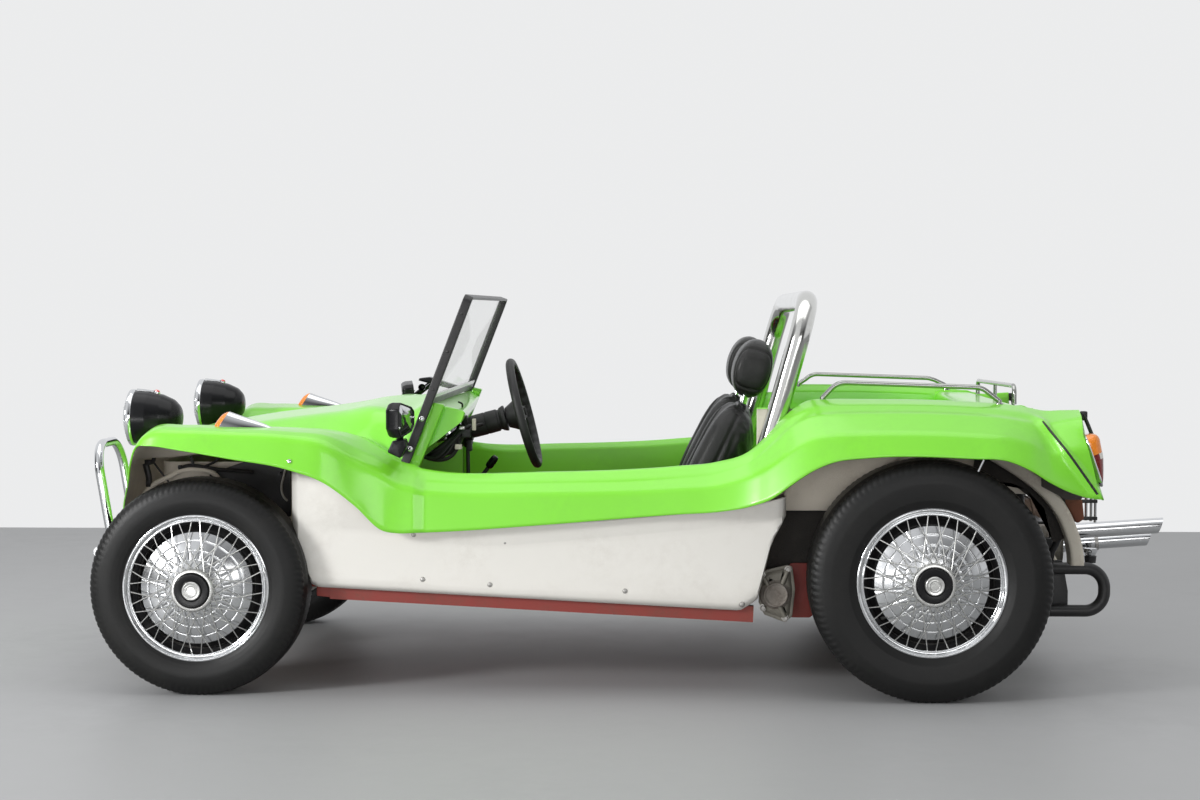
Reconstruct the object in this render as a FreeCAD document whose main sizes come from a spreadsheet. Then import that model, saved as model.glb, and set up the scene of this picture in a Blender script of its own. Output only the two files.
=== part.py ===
import FreeCAD, Part
import math
import os

import Sketcher
from FreeCAD import Placement, Rotation, Vector

# Short-wheelbase dune buggy: a plastic body on a shortened floor-pan chassis with its engine behind.
# +X points forward, +Y to the left, +Z up, in millimetres.  The origin is on the ground, in the middle
# of the buggy's length and width.

doc = FreeCAD.newDocument("DuneBuggy")
sheet = doc.addObject("Spreadsheet::Sheet", "Sizes")

# name, size in millimetres (or degrees), what it is
SIZES = [
    ("wheelbase", 2045, "front axle to rear axle"),
    ("front_overhang", 395, "front axle to the front of the bumper hoops"),
    ("rear_overhang", 740, "rear axle to the end of the exhaust tips"),
    ("front_wheel_y", 645, "middle plane of a front wheel from the centre line"),
    ("rear_wheel_y", 678, "middle plane of a rear wheel from the centre line"),
    ("front_tyre_radius", 303, "outer radius of a front tyre"),
    ("rear_tyre_radius", 333, "outer radius of a rear tyre"),
    ("front_tyre_width", 180, "section width of a front tyre"),
    ("rear_tyre_width", 214, "section width of a rear tyre"),
    ("rim_radius", 208, "outer radius of the rim flange"),
    ("front_rim_width", 160, "flange to flange of a front rim"),
    ("rear_rim_width", 188, "flange to flange of a rear rim"),
    ("cap_reach", 58, "hub cap beyond the outer rim flange"),
    ("drum_radius", 115, "brake drum"),
    ("spindle_radius", 14, "wheel spindle"),
    ("running_fit", 0.05, "radial clearance of a shaft in its bore"),
    ("kingpin_y", 580, "kingpin axis from the centre line"),
    ("kingpin_radius", 10, "kingpin"),
    ("kingpin_height", 146, "free length of the kingpin between its lugs"),
    ("steer_arm", 95, "kingpin to ball joint, and the same on the pitman arm"),
    ("tie_rod_radius", 8, "tie rod"),
    ("ball_pin_radius", 5, "pin of a tie rod's ball joint"),
    ("shell_wall", 6, "thickness of the plastic body shell"),
    ("panel_wall", 20, "thickness of the white lower side panel"),
    ("sill_y", 630, "outer face of the floor rail"),
    ("sill_height", 45, "height of the floor rail"),
    ("sill_width", 30, "width of the floor rail"),
    ("floor_wall", 10, "thickness of the floor plate"),
    ("seat_gap", 0.3, "a soft or curved piece above what carries it"),
    ("floor_rear_z", 202, "underside of the floor pan at its rear edge"),
    ("floor_rake", 2.9, "nose-up angle of the floor pan in degrees"),
    ("tunnel_half_width", 62, "half the width of the centre tunnel"),
    ("tunnel_height", 165, "top of the centre tunnel above the pan's underside"),
    ("beam_x", 150, "front axle beam ahead of the front axle line"),
    ("beam_radius", 25, "a tube of the front axle beam"),
    ("beam_spread", 150, "lower to upper tube of the front axle beam"),
    ("beam_half_length", 425, "half the length of the front axle beam"),
    ("arm_wall", 16, "thickness of a front trailing arm"),
    ("steering_wheel_radius", 160, "middle of the steering wheel's rim"),
    ("steering_grip_radius", 13, "section of the steering wheel's rim"),
    ("column_angle", 15, "steering column above the horizontal in degrees"),
    ("seat_y", 300, "middle of a seat from the centre line"),
    ("seat_width", 420, "width of a seat"),
    ("hoop_radius", 29, "tube radius of the roll bar"),
    ("hoop_y", 545, "leg of the roll bar from the centre line"),
    ("hoop_top_z", 1106, "middle of the roll bar's top tube"),
    ("rail_radius", 9, "tube radius of the deck rails"),
    ("bumper_radius", 15, "tube radius of the front bumper"),
    ("loop_radius", 17, "tube radius of the rear bumper"),
    ("headlamp_y", 438, "headlamp from the centre line"),
    ("headlamp_z", 767, "middle of a headlamp"),
    ("headlamp_radius", 83, "headlamp rim"),
    ("screen_y", 612, "outer face of a windscreen pillar from the centre line"),
    ("screen_rake", 19.8, "windscreen lean from the vertical in degrees"),
    ("screen_bar", 27, "depth and width of a windscreen bar"),
    ("screen_length", 499, "windscreen pillar from foot to top"),
    ("glass_wall", 6, "windscreen glass"),
    ("tow_eye_radius", 16, "bore of the tow eye"),
    ("tow_eye_wall", 16, "thickness of the tow eye"),
    ("torsion_radius", 45, "rear torsion bar tube"),
    ("axle_tube_radius", 32, "rear axle tube"),
]
for row, (name, value, meaning) in enumerate(SIZES, start=1):
    sheet.set(f"A{row}", meaning)
    sheet.set(f"B{row}", str(value))
    sheet.setAlias(f"B{row}", name)
doc.recompute()


class Measure:
    """A length with the sheet expression that gives it, so that sums of sizes stay bound to the sheet."""

    def __init__(self, number, text):
        self.number = float(number)
        self.text = text

    def __float__(self):
        return self.number

    def __add__(self, other):
        other = measure(other)
        return Measure(self.number + other.number, f"({self.text} + {other.text})")

    def __sub__(self, other):
        other = measure(other)
        return Measure(self.number - other.number, f"({self.text} - {other.text})")

    def __mul__(self, factor):
        factor = measure(factor)
        return Measure(self.number * factor.number, f"({self.text} * {factor.text})")

    def __truediv__(self, factor):
        factor = measure(factor)
        return Measure(self.number / factor.number, f"({self.text} / {factor.text})")

    def __neg__(self):
        return Measure(-self.number, f"(0 - {self.text})")

    def __radd__(self, other):
        return measure(other) + self

    def __rsub__(self, other):
        return measure(other) - self

    __rmul__ = __mul__


def measure(value):
    """A plain number as a Measure; a Measure as it is."""
    if isinstance(value, Measure):
        return value
    return Measure(value, f"({float(value)})")


def size(name):
    return Measure(sheet.get(name), f"Sizes.{name}")


S = {name: size(name) for name, _, _ in SIZES}

FRONT_AXLE = (S["wheelbase"] + S["rear_overhang"] - S["front_overhang"]) / 2
REAR_AXLE = FRONT_AXLE - S["wheelbase"]

NODES = []


# ---------------------------------------------------------------- helpers

def bind(thing, prop, value):
    """Give a property its number and bind it to the sheet."""
    thing.setExpression(prop, measure(value).text)


def put(thing, x=0, y=0, z=0, axis=(0, 0, 1), angle=0):
    """Place an object; its base point and its angle are bound to the sheet."""
    thing.Placement = Placement(Vector(float(x), float(y), float(z)), Rotation(Vector(*axis), float(angle)))
    for letter, value in zip("xyz", (x, y, z)):
        bind(thing, f"Placement.Base.{letter}", value)
    if isinstance(angle, Measure):
        bind(thing, "Placement.Rotation.Angle", angle)
    return thing


def node(thing, name):
    """Make an object a sub-part: its Label is the name of its file."""
    thing.Label = name
    NODES.append(thing)
    return thing


def box(x, y, z):
    """A block between two values on each axis, given as (low, high) pairs."""
    block = doc.addObject("Part::Box", "Block")
    for prop, (low, high) in zip(("Length", "Width", "Height"), (x, y, z)):
        bind(block, prop, measure(high) - low)
    return put(block, x[0], y[0], z[0])


TURNS = {"x": ((0, 1, 0), 90), "y": ((1, 0, 0), -90), "z": ((0, 0, 1), 0)}


def rod(along, start, end, radius, x=0, y=0, z=0):
    """A round bar along one axis, from start to end on it, with the other two coordinates given."""
    bar = doc.addObject("Part::Cylinder", "Rod")
    bind(bar, "Radius", radius)
    bind(bar, "Height", measure(end) - start)
    at = {"x": x, "y": y, "z": z}
    at[along] = start
    axis, angle = TURNS[along]
    return put(bar, at["x"], at["y"], at["z"], axis, angle)


def fuse(pieces):
    union = doc.addObject("Part::MultiFuse", "Union")
    union.Shapes = pieces
    union.Refine = True
    return union


def cut(base, tool):
    difference = doc.addObject("Part::Cut", "Difference")
    difference.Base = base
    difference.Tool = tool
    return difference


def group(pieces):
    """Several solids that do not touch, as one sub-part."""
    compound = doc.addObject("Part::Compound", "Group")
    compound.Links = pieces
    return compound


def mirrored(source):
    """The same piece on the other side of the centre line."""
    copy = doc.addObject("Part::Mirroring", "Mirrored")
    copy.Source = source
    copy.Normal = Vector(0, 1, 0)
    return copy


def both_sides(source):
    return group([source, mirrored(source)])


def pair(make, name):
    """The left piece and its mirror image on the right, each as a sub-part of its own."""
    left = node(make, f"{name}_left")
    node(mirrored(left), f"{name}_right")


def plane_of(body, role):
    for feature in body.Origin.OriginFeatures:
        if feature.Role == role:
            return feature


def sketch(body, plane, corners):
    """A closed outline of straight sides in one of the body's planes; every corner is bound to the sheet."""
    outline = body.newObject("Sketcher::SketchObject", "Outline")
    outline.AttachmentSupport = [(plane_of(body, plane), "")]
    outline.MapMode = "FlatFace"
    points = [Vector(float(a), float(b), 0) for a, b in corners]
    count = len(points)
    for i in range(count):
        outline.addGeometry(Part.LineSegment(points[i], points[(i + 1) % count]), False)
    for i in range(count):
        outline.addConstraint(Sketcher.Constraint("Coincident", i, 2, (i + 1) % count, 1))
    for i, (a, b) in enumerate(corners):
        for kind, value in (("DistanceX", a), ("DistanceY", b)):
            index = outline.addConstraint(Sketcher.Constraint(kind, -1, 1, i, 1, float(value)))
            outline.setExpression(f"Constraints[{index}]", measure(value).text)
    return outline


def extruded(plane, corners, length, midplane=False):
    """A body padded from one outline."""
    body = doc.addObject("PartDesign::Body", "Body")
    outline = sketch(body, plane, corners)
    pad = body.newObject("PartDesign::Pad", "Pad")
    pad.Profile = outline
    bind(pad, "Length", length)
    pad.Midplane = midplane
    outline.Visibility = False
    return body


def pocketed(body, plane, corners, length):
    """The body with an outline cut out of it, evenly to both sides of the plane."""
    outline = sketch(body, plane, corners)
    pocket = body.newObject("PartDesign::Pocket", "Pocket")
    pocket.Profile = outline
    bind(pocket, "Length", length)
    pocket.Midplane = True
    return body


def turned(corners, x, y, z, outward=1):
    """A body turned about the Y direction at (x, y, z).

    The corners are (distance along the axis, radius), and the distance counts away from the centre line:
    to the left with outward 1, to the right with -1."""
    body = doc.addObject("PartDesign::Body", "Body")
    outline = sketch(body, "XZ_Plane", corners)
    revolution = body.newObject("PartDesign::Revolution", "Revolution")
    revolution.Profile = outline
    revolution.ReferenceAxis = (outline, ["H_Axis"])
    revolution.Angle = 360
    return put(body, x, y, z, (0, 0, 1), 90 * outward)


def feature(shape):
    """A sub-part whose shape is worked out here from the sheet's sizes."""
    thing = doc.addObject("Part::Feature", "Shape")
    thing.Shape = shape
    thing.Placement = Placement()
    return thing


def bent_tube(points, radius, bend):
    """A round tube along straight runs joined by tangent arcs of one bend radius."""
    points = [Vector(*map(float, point)) for point in points]
    edges = []
    start = points[0]
    for before, corner, after in zip(points, points[1:], points[2:]):
        to_before = (before - corner).normalize()
        to_after = (after - corner).normalize()
        half = math.acos(max(-1, min(1, to_before.dot(to_after)))) / 2
        reach = bend / math.tan(half)
        enter = corner + to_before * reach
        leave = corner + to_after * reach
        middle_way = (to_before + to_after).normalize()
        middle = corner + middle_way * (bend / math.sin(half) - bend)
        edges.append(Part.LineSegment(start, enter).toShape())
        edges.append(Part.Arc(enter, middle, leave).toShape())
        start = leave
    edges.append(Part.LineSegment(start, points[-1]).toShape())
    path = Part.Wire(edges)
    ring = Part.Wire(Part.Circle(points[0], points[1] - points[0], float(radius)).toShape())
    return path.makePipeShell([ring], True, True)


def inner_line(points, wall):
    """The outline's points moved to its right by the wall, with mitred corners."""
    moved = []
    for i, (a, b) in enumerate(points):
        normals = []
        for j in (i - 1, i):
            if 0 <= j < len(points) - 1:
                da = points[j + 1][0] - points[j][0]
                db = points[j + 1][1] - points[j][1]
                length = math.hypot(da, db)
                normals.append((db / length, -da / length))
        if len(normals) == 1:
            normals = normals * 2
        (a1, b1), (a2, b2) = normals
        scale = wall / (1 + a1 * a2 + b1 * b2)
        moved.append((a + scale * (a1 + a2), b + scale * (b1 + b2)))
    return moved


def band_loft(sections, wall):
    """A thin curved panel: each section is (x, [(y, z), ...]), joined by straight lines to the next."""
    wires = []
    for x, line in sections:
        ring = line + inner_line(line, wall)[::-1]
        wires.append(Part.makePolygon([Vector(x, y, z) for y, z in ring + ring[:1]]))
    return Part.makeLoft(wires, True, True)


# Body sections are placed by their station: their distance behind the front axle on the standard
# wheelbase.  Stations in the nose and tail keep their distance to their own axle, and the cockpit's
# stations stretch evenly with the wheelbase.
NOSE_END = 450
TAIL_START = 1560
STANDARD_WHEELBASE = 2045


def along(station):
    front_axle = float(FRONT_AXLE)
    rear_axle = float(REAR_AXLE)
    if station <= NOSE_END:
        return front_axle - station
    tail_x = rear_axle + STANDARD_WHEELBASE - TAIL_START
    if station >= TAIL_START:
        return tail_x - (station - TAIL_START)
    share = (station - NOSE_END) / (TAIL_START - NOSE_END)
    nose_x = front_axle - NOSE_END
    return nose_x + share * (tail_x - nose_x)


def ahead(distance):
    """A place this far ahead of the front axle."""
    return FRONT_AXLE + distance


def behind(distance):
    """A place this far behind the rear axle."""
    return REAR_AXLE - distance


WALL = float(S["shell_wall"])

# ---------------------------------------------------------------- floor pan and frame

FLOOR_LENGTH = S["wheelbase"] - 845
FLOOR_REAR = REAR_AXLE + 485


def floorpan():
    """Floor plate with a raised centre tunnel and a box rail along each edge."""
    sill = S["sill_y"]
    inner = sill - S["sill_width"]
    tunnel = S["tunnel_half_width"]
    top = S["tunnel_height"]
    wall = S["floor_wall"]
    rail = S["sill_height"]
    half = [
        (tunnel - wall, 0), (sill, 0), (sill, rail), (inner, rail), (inner, wall),
        (tunnel, wall), (tunnel - 8, top),
    ]
    roof = [(tunnel - 8 - wall, top - wall)]
    corners = half + [(-y, z) for y, z in half[::-1]] + [(-y, z) for y, z in roof] + roof
    body = extruded("YZ_Plane", corners, FLOOR_LENGTH)
    return put(body, FLOOR_REAR, 0, S["floor_rear_z"], (0, 1, 0), -S["floor_rake"])


def above_pan(station, height):
    """Height above the ground of what lies this far above the floor pan's underside at a station."""
    rake = math.radians(float(S["floor_rake"]))
    run = along(station) - float(FLOOR_REAR)
    return float(S["floor_rear_z"]) + run * math.tan(rake) + float(height) / math.cos(rake)


def floor_top(station):
    return above_pan(station, S["floor_wall"])


def tunnel_top(station):
    return above_pan(station, S["tunnel_height"])


FLOOR_FRONT = FLOOR_REAR + FLOOR_LENGTH
FRAME_HEAD_TOP = 300
SEAT_BASE_Z = 292
SEAT_RAILS = (1000, 1040), (1340, 1380)

# the frame head runs from the tunnel to the front axle beam, and each seat stands on two cross rails
frame_head = box((FLOOR_FRONT - 12, ahead(S["beam_x"] - S["beam_radius"])), (-100, 100), (225, FRAME_HEAD_TOP))
seat_rails = [
    box((along(rear), along(front)), (side * S["seat_y"] - 150, side * S["seat_y"] + 150),
        (floor_top(rear) - 4, SEAT_BASE_Z - S["seat_gap"]))
    for front, rear in SEAT_RAILS
    for side in (-1, 1)
]
node(fuse([floorpan(), frame_head] + seat_rails), "floorpan")

BEAM_LOW = 228
BEAM_HIGH = BEAM_LOW + S["beam_spread"]


def front_axle_beam():
    """Two torsion tubes across the frame, joined by centre clamps and by a damper tower at each end."""
    x = ahead(S["beam_x"])
    reach = S["beam_half_length"]
    tube = S["beam_radius"]
    pieces = [rod("y", -reach, reach, tube, x=x, z=z) for z in (BEAM_LOW, BEAM_HIGH)]
    for side in (-1, 1):
        middle = side * 90
        pieces.append(box((x - tube, x + tube), (middle - 20, middle + 20), (BEAM_LOW, BEAM_HIGH)))
        tower = side * (reach - 45)
        pieces.append(box((x - tube, x + tube), (tower - 6, tower + 6), (BEAM_LOW, BEAM_HIGH + 190)))
    return fuse(pieces)


node(front_axle_beam(), "front_axle_beam")

AXLE_FRONT_Z = S["front_tyre_radius"]
AXLE_REAR_Z = S["rear_tyre_radius"]
PIN_LOW = AXLE_FRONT_Z - S["kingpin_height"] / 2
PIN_HIGH = AXLE_FRONT_Z + S["kingpin_height"] / 2


def trailing_arms():
    """Upper and lower arm of one front wheel, from the axle beam back to the kingpin carrier."""
    near = S["beam_half_length"]
    far = near + S["arm_wall"]
    beam_x = ahead(S["beam_x"])
    arms = []
    for tube_z, eye_z in ((BEAM_LOW, PIN_LOW - 12), (BEAM_HIGH, PIN_HIGH + 12)):
        boss = rod("y", near, far, 30, x=beam_x, z=tube_z)
        eye = rod("y", near, 540, 17, x=FRONT_AXLE, z=eye_z)
        middle = (measure(tube_z) + eye_z) / 2
        bar = box((FRONT_AXLE, beam_x), (near + 4, far - 4), (middle - 16, middle + 16))
        arms.append(fuse([boss, eye, bar]))
    return arms


left_arms = trailing_arms()


def kingpin_carrier():
    """Upright between the arm ends, with a lug above and below that holds the kingpin."""
    pin_y = S["kingpin_y"]
    web_in = measure(540)
    low = PIN_LOW - 24
    high = PIN_HIGH + 24
    pieces = [box((FRONT_AXLE - 18, FRONT_AXLE + 18), (web_in, web_in + 14), (low, high))]
    for bottom, top in ((low, PIN_LOW), (PIN_HIGH, high)):
        pieces.append(box((FRONT_AXLE - 16, FRONT_AXLE + 16), (web_in, pin_y), (bottom, top)))
        pieces.append(rod("z", bottom, top, 16, x=FRONT_AXLE, y=pin_y))
    pieces.append(rod("z", PIN_LOW, PIN_HIGH, S["kingpin_radius"], x=FRONT_AXLE, y=pin_y))
    return fuse(pieces)


node(both_sides(fuse(left_arms + [kingpin_carrier()])), "front_suspension_arms")

ARM_LOW = 340
ARM_HIGH = 356


def steering_arm(x, y):
    """Flat arm that points back from a vertical axis and ends in a round eye."""
    eye_x = x - S["steer_arm"]
    return fuse([
        box((eye_x, x - 10), (y - 9, y + 9), (ARM_LOW, ARM_HIGH)),
        rod("z", ARM_LOW, ARM_HIGH, 14, x=eye_x, y=y),
    ])


def ball_bore(y):
    """Hole in an arm's eye for a tie rod's pin."""
    radius = S["ball_pin_radius"] + S["running_fit"]
    return rod("z", ARM_LOW - 1, ARM_HIGH + 1, radius, x=FRONT_AXLE - S["steer_arm"], y=y)


def steering_knuckle():
    """Sleeve on the kingpin with the wheel spindle, brake back plate and rearward steering arm."""
    pin_y = S["kingpin_y"]
    gap = 2
    sleeve = rod("z", PIN_LOW + gap, PIN_HIGH - gap, 19, x=FRONT_AXLE, y=pin_y)
    spindle = rod("y", pin_y, S["front_wheel_y"] + 40, S["spindle_radius"], x=FRONT_AXLE, z=AXLE_FRONT_Z)
    plate = rod("y", pin_y + 26, pin_y + 32, S["drum_radius"] - 4, x=FRONT_AXLE, z=AXLE_FRONT_Z)
    neck = rod("y", pin_y, pin_y + 26, 24, x=FRONT_AXLE, z=AXLE_FRONT_Z)
    solid = fuse([sleeve, spindle, plate, neck, steering_arm(FRONT_AXLE, pin_y)])
    bore_radius = S["kingpin_radius"] + S["running_fit"]
    kingpin_bore = rod("z", PIN_LOW, PIN_HIGH, bore_radius, x=FRONT_AXLE, y=pin_y)
    return cut(solid, fuse([kingpin_bore, ball_bore(pin_y)]))


pair(steering_knuckle(), "front_knuckle")

# steering linkage: the pitman arm is as long as the knuckles' arms and stands on the kingpins' line, so
# that both tie rods stay square to the buggy as the wheels steer. Both end in the same eye of the pitman
# arm, the left one above the arms and the right one below them.
PITMAN_Y = 60
PITMAN_PIN = 9
ARM_MIDDLE = (ARM_LOW + ARM_HIGH) / 2
ROD_DROP = 20

pitman = fuse([
    steering_arm(FRONT_AXLE, PITMAN_Y),
    box((FRONT_AXLE - 24, FRONT_AXLE + 20), (PITMAN_Y - 20, PITMAN_Y + 20), (ARM_LOW, ARM_HIGH)),
])
pitman_bore = rod("z", ARM_LOW - 1, ARM_HIGH + 1, PITMAN_PIN + S["running_fit"], x=FRONT_AXLE, y=PITMAN_Y)
node(cut(pitman, fuse([ball_bore(PITMAN_Y), pitman_bore])), "pitman_arm")
node(fuse([
    box((FRONT_AXLE - 30, FRONT_AXLE + 45), (PITMAN_Y - 38, PITMAN_Y + 38), (FRAME_HEAD_TOP, ARM_LOW - 1)),
    rod("z", ARM_LOW - 1, ARM_HIGH + 4, PITMAN_PIN, x=FRONT_AXLE, y=PITMAN_Y),
]), "steering_box")


def tie_rod(outer_y, up):
    """Rod above (up = 1) or below (up = -1) the steering arms, with a pin into each arm's eye."""
    eye_x = FRONT_AXLE - S["steer_arm"]
    rod_z = ARM_MIDDLE + up * ROD_DROP
    face = ARM_MIDDLE + up * (ARM_HIGH - ARM_LOW) / 2
    low_y, high_y = sorted((float(PITMAN_Y), float(outer_y)))
    pieces = [rod("y", low_y, high_y, S["tie_rod_radius"], x=eye_x, z=rod_z)]
    for y in (low_y, high_y):
        for start, end, radius in ((face + up * 2, rod_z + up * 12, 12),
                                   (ARM_MIDDLE + up, rod_z, S["ball_pin_radius"])):
            low, high = sorted((float(start), float(end)))
            pieces.append(rod("z", low, high, radius, x=eye_x, y=y))
    return fuse(pieces)


node(tie_rod(S["kingpin_y"], 1), "tie_rod_left")
node(tie_rod(-S["kingpin_y"], -1), "tie_rod_right")

# front damper, from the tower's top to the lower arm
damper_y = S["beam_half_length"] - 15
front_damper = fuse([
    rod("z", BEAM_LOW - 8, BEAM_HIGH + 60, 14, x=ahead(60), y=damper_y),
    rod("y", damper_y, S["beam_half_length"] + 4, 8, x=ahead(60), z=BEAM_LOW + 4),
    rod("z", BEAM_HIGH + 30, BEAM_HIGH + 165, 24, x=ahead(60), y=damper_y),
    rod("x", ahead(60), ahead(S["beam_x"] - S["beam_radius"]), 7, y=damper_y - 5, z=BEAM_HIGH + 150),
])

# ---------------------------------------------------------------- rear frame, axle and engine

TUB_FLOOR_Z = 600
TORSION_X = REAR_AXLE + 419
TORSION_Z = 282
AXLE_TUBE_IN = 116
frame_foot = floor_top(1520) + S["seat_gap"]

node(fuse([
    rod("y", -600, 600, S["torsion_radius"], x=TORSION_X, z=TORSION_Z),
    box((behind(112), TORSION_X), (160, 205), (TORSION_Z - 52, TORSION_Z + 13)),
    box((behind(112), TORSION_X), (-205, -160), (TORSION_Z - 52, TORSION_Z + 13)),
    box((TORSION_X, FLOOR_REAR + 40), (75, 150), (frame_foot, TORSION_Z + 40)),
    box((TORSION_X, FLOOR_REAR + 40), (-150, -75), (frame_foot, TORSION_Z + 40)),
]), "rear_frame")

torsion_cover = fuse([
    box((TORSION_X - 42, TORSION_X + 32), (600, 612), (203, 360)),
    rod("y", 600, 626, 34, x=TORSION_X, z=TORSION_Z),
])
spring_plate = cut(
    box((behind(60), TORSION_X - S["torsion_radius"]), (546, 552), (AXLE_REAR_Z - 70, AXLE_REAR_Z + 50)),
    rod("y", 540, 560, S["axle_tube_radius"] + S["seat_gap"], x=REAR_AXLE, z=AXLE_REAR_Z))
node(both_sides(group([torsion_cover, spring_plate])), "rear_spring_plates")


def rear_axle_tube():
    """Axle tube from the gearbox to the wheel bearing, with the back plate and the stub shaft."""
    z = AXLE_REAR_Z
    back = S["rear_wheel_y"] - S["rear_rim_width"] / 2
    return fuse([
        rod("y", AXLE_TUBE_IN, back - 14, S["axle_tube_radius"], x=REAR_AXLE, z=z),
        rod("y", back - 31, back - 14, 46, x=REAR_AXLE, z=z),
        rod("y", back - 14, back - 8, S["drum_radius"], x=REAR_AXLE, z=z),
        rod("y", back - 14, S["rear_wheel_y"] + 40, S["spindle_radius"], x=REAR_AXLE, z=z),
    ])


node(both_sides(rear_axle_tube()), "rear_axle_tubes")

rear_damper = fuse([
    rod("z", 320, TUB_FLOOR_Z - WALL - S["seat_gap"], 12, x=behind(75), y=505),
    rod("z", 420, 590, 24, x=behind(75), y=505),
    rod("x", behind(75), REAR_AXLE - S["axle_tube_radius"] - S["seat_gap"], 9, y=505, z=AXLE_REAR_Z),
])
node(both_sides(group([front_damper, rear_damper])), "dampers")

node(fuse([
    box((behind(0), REAR_AXLE + 325), (-85, 85), (235, 405)),
    rod("y", -AXLE_TUBE_IN, AXLE_TUBE_IN, 75, x=REAR_AXLE, z=AXLE_REAR_Z),
    rod("x", behind(115), behind(36), 150, z=365),
    box((behind(40), behind(0)), (-85, 85), (235, 405)),
]), "gearbox")

CYLINDER_Y = 375

# flat four-cylinder engine: crankcase, cylinders, fan housing and dynamo
node(fuse([
    box((behind(440), behind(115)), (-130, 130), (235, 500)),
    box((behind(400), behind(160)), (-CYLINDER_Y, CYLINDER_Y), (310, 460)),
    box((behind(345), behind(215)), (-245, 245), (500, 690)),
    rod("x", behind(400), behind(345), 70, z=565),
]), "engine")

# ---------------------------------------------------------------- wheels

DRUM_GAP = 5
FRONT_DRUM = S["kingpin_y"] + 32 + DRUM_GAP - S["front_wheel_y"]
REAR_DRUM = 6 - S["rear_rim_width"] / 2

WHEELS = [
    # name, axle x, side, its sizes, back of the brake drum from the wheel's middle plane
    ("front_left", FRONT_AXLE, 1, "front", FRONT_DRUM),
    ("front_right", FRONT_AXLE, -1, "front", FRONT_DRUM),
    ("rear_left", REAR_AXLE, 1, "rear", REAR_DRUM),
    ("rear_right", REAR_AXLE, -1, "rear", REAR_DRUM),
]

for name, axle_x, side, end, drum_back in WHEELS:
    plane = S[f"{end}_wheel_y"] * side
    radius = S[f"{end}_tyre_radius"]
    half_tyre = S[f"{end}_tyre_width"] / 2
    half_rim = S[f"{end}_rim_width"] / 2
    rim = S["rim_radius"]
    tread = half_tyre - 16
    tyre = [
        (-half_rim + 9, rim - 14), (-half_rim + 9, rim + 1), (-half_tyre + 4, rim + 18),
        (-half_tyre, rim + 40), (-half_tyre + 4, radius - 34), (-tread, radius - 8), (-tread + 14, radius),
        (tread - 14, radius), (tread, radius - 8), (half_tyre - 4, radius - 34),
        (half_tyre, rim + 40), (half_tyre - 4, rim + 18), (half_rim - 9, rim + 1), (half_rim - 9, rim - 14),
    ]
    node(turned(tyre, axle_x, plane, radius, side), f"{name}_tyre")

    drum = S["drum_radius"]
    bore = S["spindle_radius"] + S["running_fit"]
    cap = half_rim + S["cap_reach"]
    wheel = [
        (-half_rim, rim - 20), (-half_rim, rim), (-half_rim + 9, rim), (-half_rim + 9, rim - 14),
        (half_rim - 9, rim - 14), (half_rim - 9, rim), (half_rim, rim), (half_rim, rim - 22),
        (half_rim - 30, rim - 26), (half_rim - 38, rim - 56), (half_rim - 6, 61), (cap - 6, 61), (cap, 49),
        (cap, 0), (46, 0), (46, bore), (drum_back, bore), (drum_back, drum), (-6, drum), (2, rim - 34),
        (-half_rim + 22, rim - 30),
    ]
    node(turned(wheel, axle_x, plane, radius, side), f"{name}_wheel")

# ---------------------------------------------------------------- body shell

# white lower side panel: (place ahead of or behind an axle, height)
panel = [
    (ahead(-330), 300), (REAR_AXLE + 512, 239), (REAR_AXLE + 480, 256), (REAR_AXLE + 474, 285),
    (REAR_AXLE + 437, 430), (REAR_AXLE + 410, 520), (REAR_AXLE + 410, 590), (ahead(-600), 545),
    (ahead(-420), 600), (ahead(-264), 640),
]
side_panel = extruded("XZ_Plane", panel, S["panel_wall"])
pair(put(side_panel, 0, S["sill_y"] + S["panel_wall"], 0), "side_panel")

FRONT_WING = [
    # station, valley (y, z), inner shoulder (y, z), crest (y, z), outer shoulder (y, z), lip (y, z)
    (-178, (420, 642), (520, 672), (640, 684), (690, 682), (704, 672)),
    (-130, (425, 655), (530, 738), (650, 752), (722, 738), (735, 703)),
    (-37, (432, 668), (535, 748), (655, 758), (732, 742), (745, 691)),
    (100, (442, 690), (540, 748), (655, 754), (732, 738), (746, 668)),
    (265, (463, 713), (545, 745), (650, 746), (728, 728), (744, 638)),
    (369, (490, 722), (556, 738), (636, 736), (722, 708), (738, 598)),
    (450, (528, 716), (575, 718), (612, 706), (700, 660), (722, 535)),
]
wing = feature(band_loft([(along(row[0]), list(row[1:])) for row in FRONT_WING], WALL))
pair(wing, "front_wing")

COCKPIT_SIDE = [
    # station, rim (y, z), shoulder (y, z), lip (y, z)
    (450, (612, 706), (700, 660), (722, 535)),
    (521, (614, 675), (692, 620), (706, 466)),
    (567, (615, 650), (688, 590), (703, 458)),
    (683, (616, 630), (688, 571), (702, 462)),
    (960, (616, 630), (688, 571), (702, 482)),
    (1351, (614, 648), (690, 585), (705, 515)),
    (1459, (610, 659), (696, 596), (716, 524)),
    (1560, (602, 690), (716, 632), (745, 545)),
]
FLOOR_GAP = 1


def cockpit_section(station, rim, shoulder, lip):
    """Inner wall from the floor up to the rim, over it, and down the outside to the lip."""
    foot = floor_top(station) + FLOOR_GAP
    wall_y = float(S["sill_y"]) - float(S["sill_width"]) - 12
    return along(station), [(wall_y, foot), (rim[0] - 16, rim[1] - 24), rim, shoulder, lip]


side = feature(band_loft([cockpit_section(*row) for row in COCKPIT_SIDE], WALL))
pair(side, "body_side")

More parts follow.
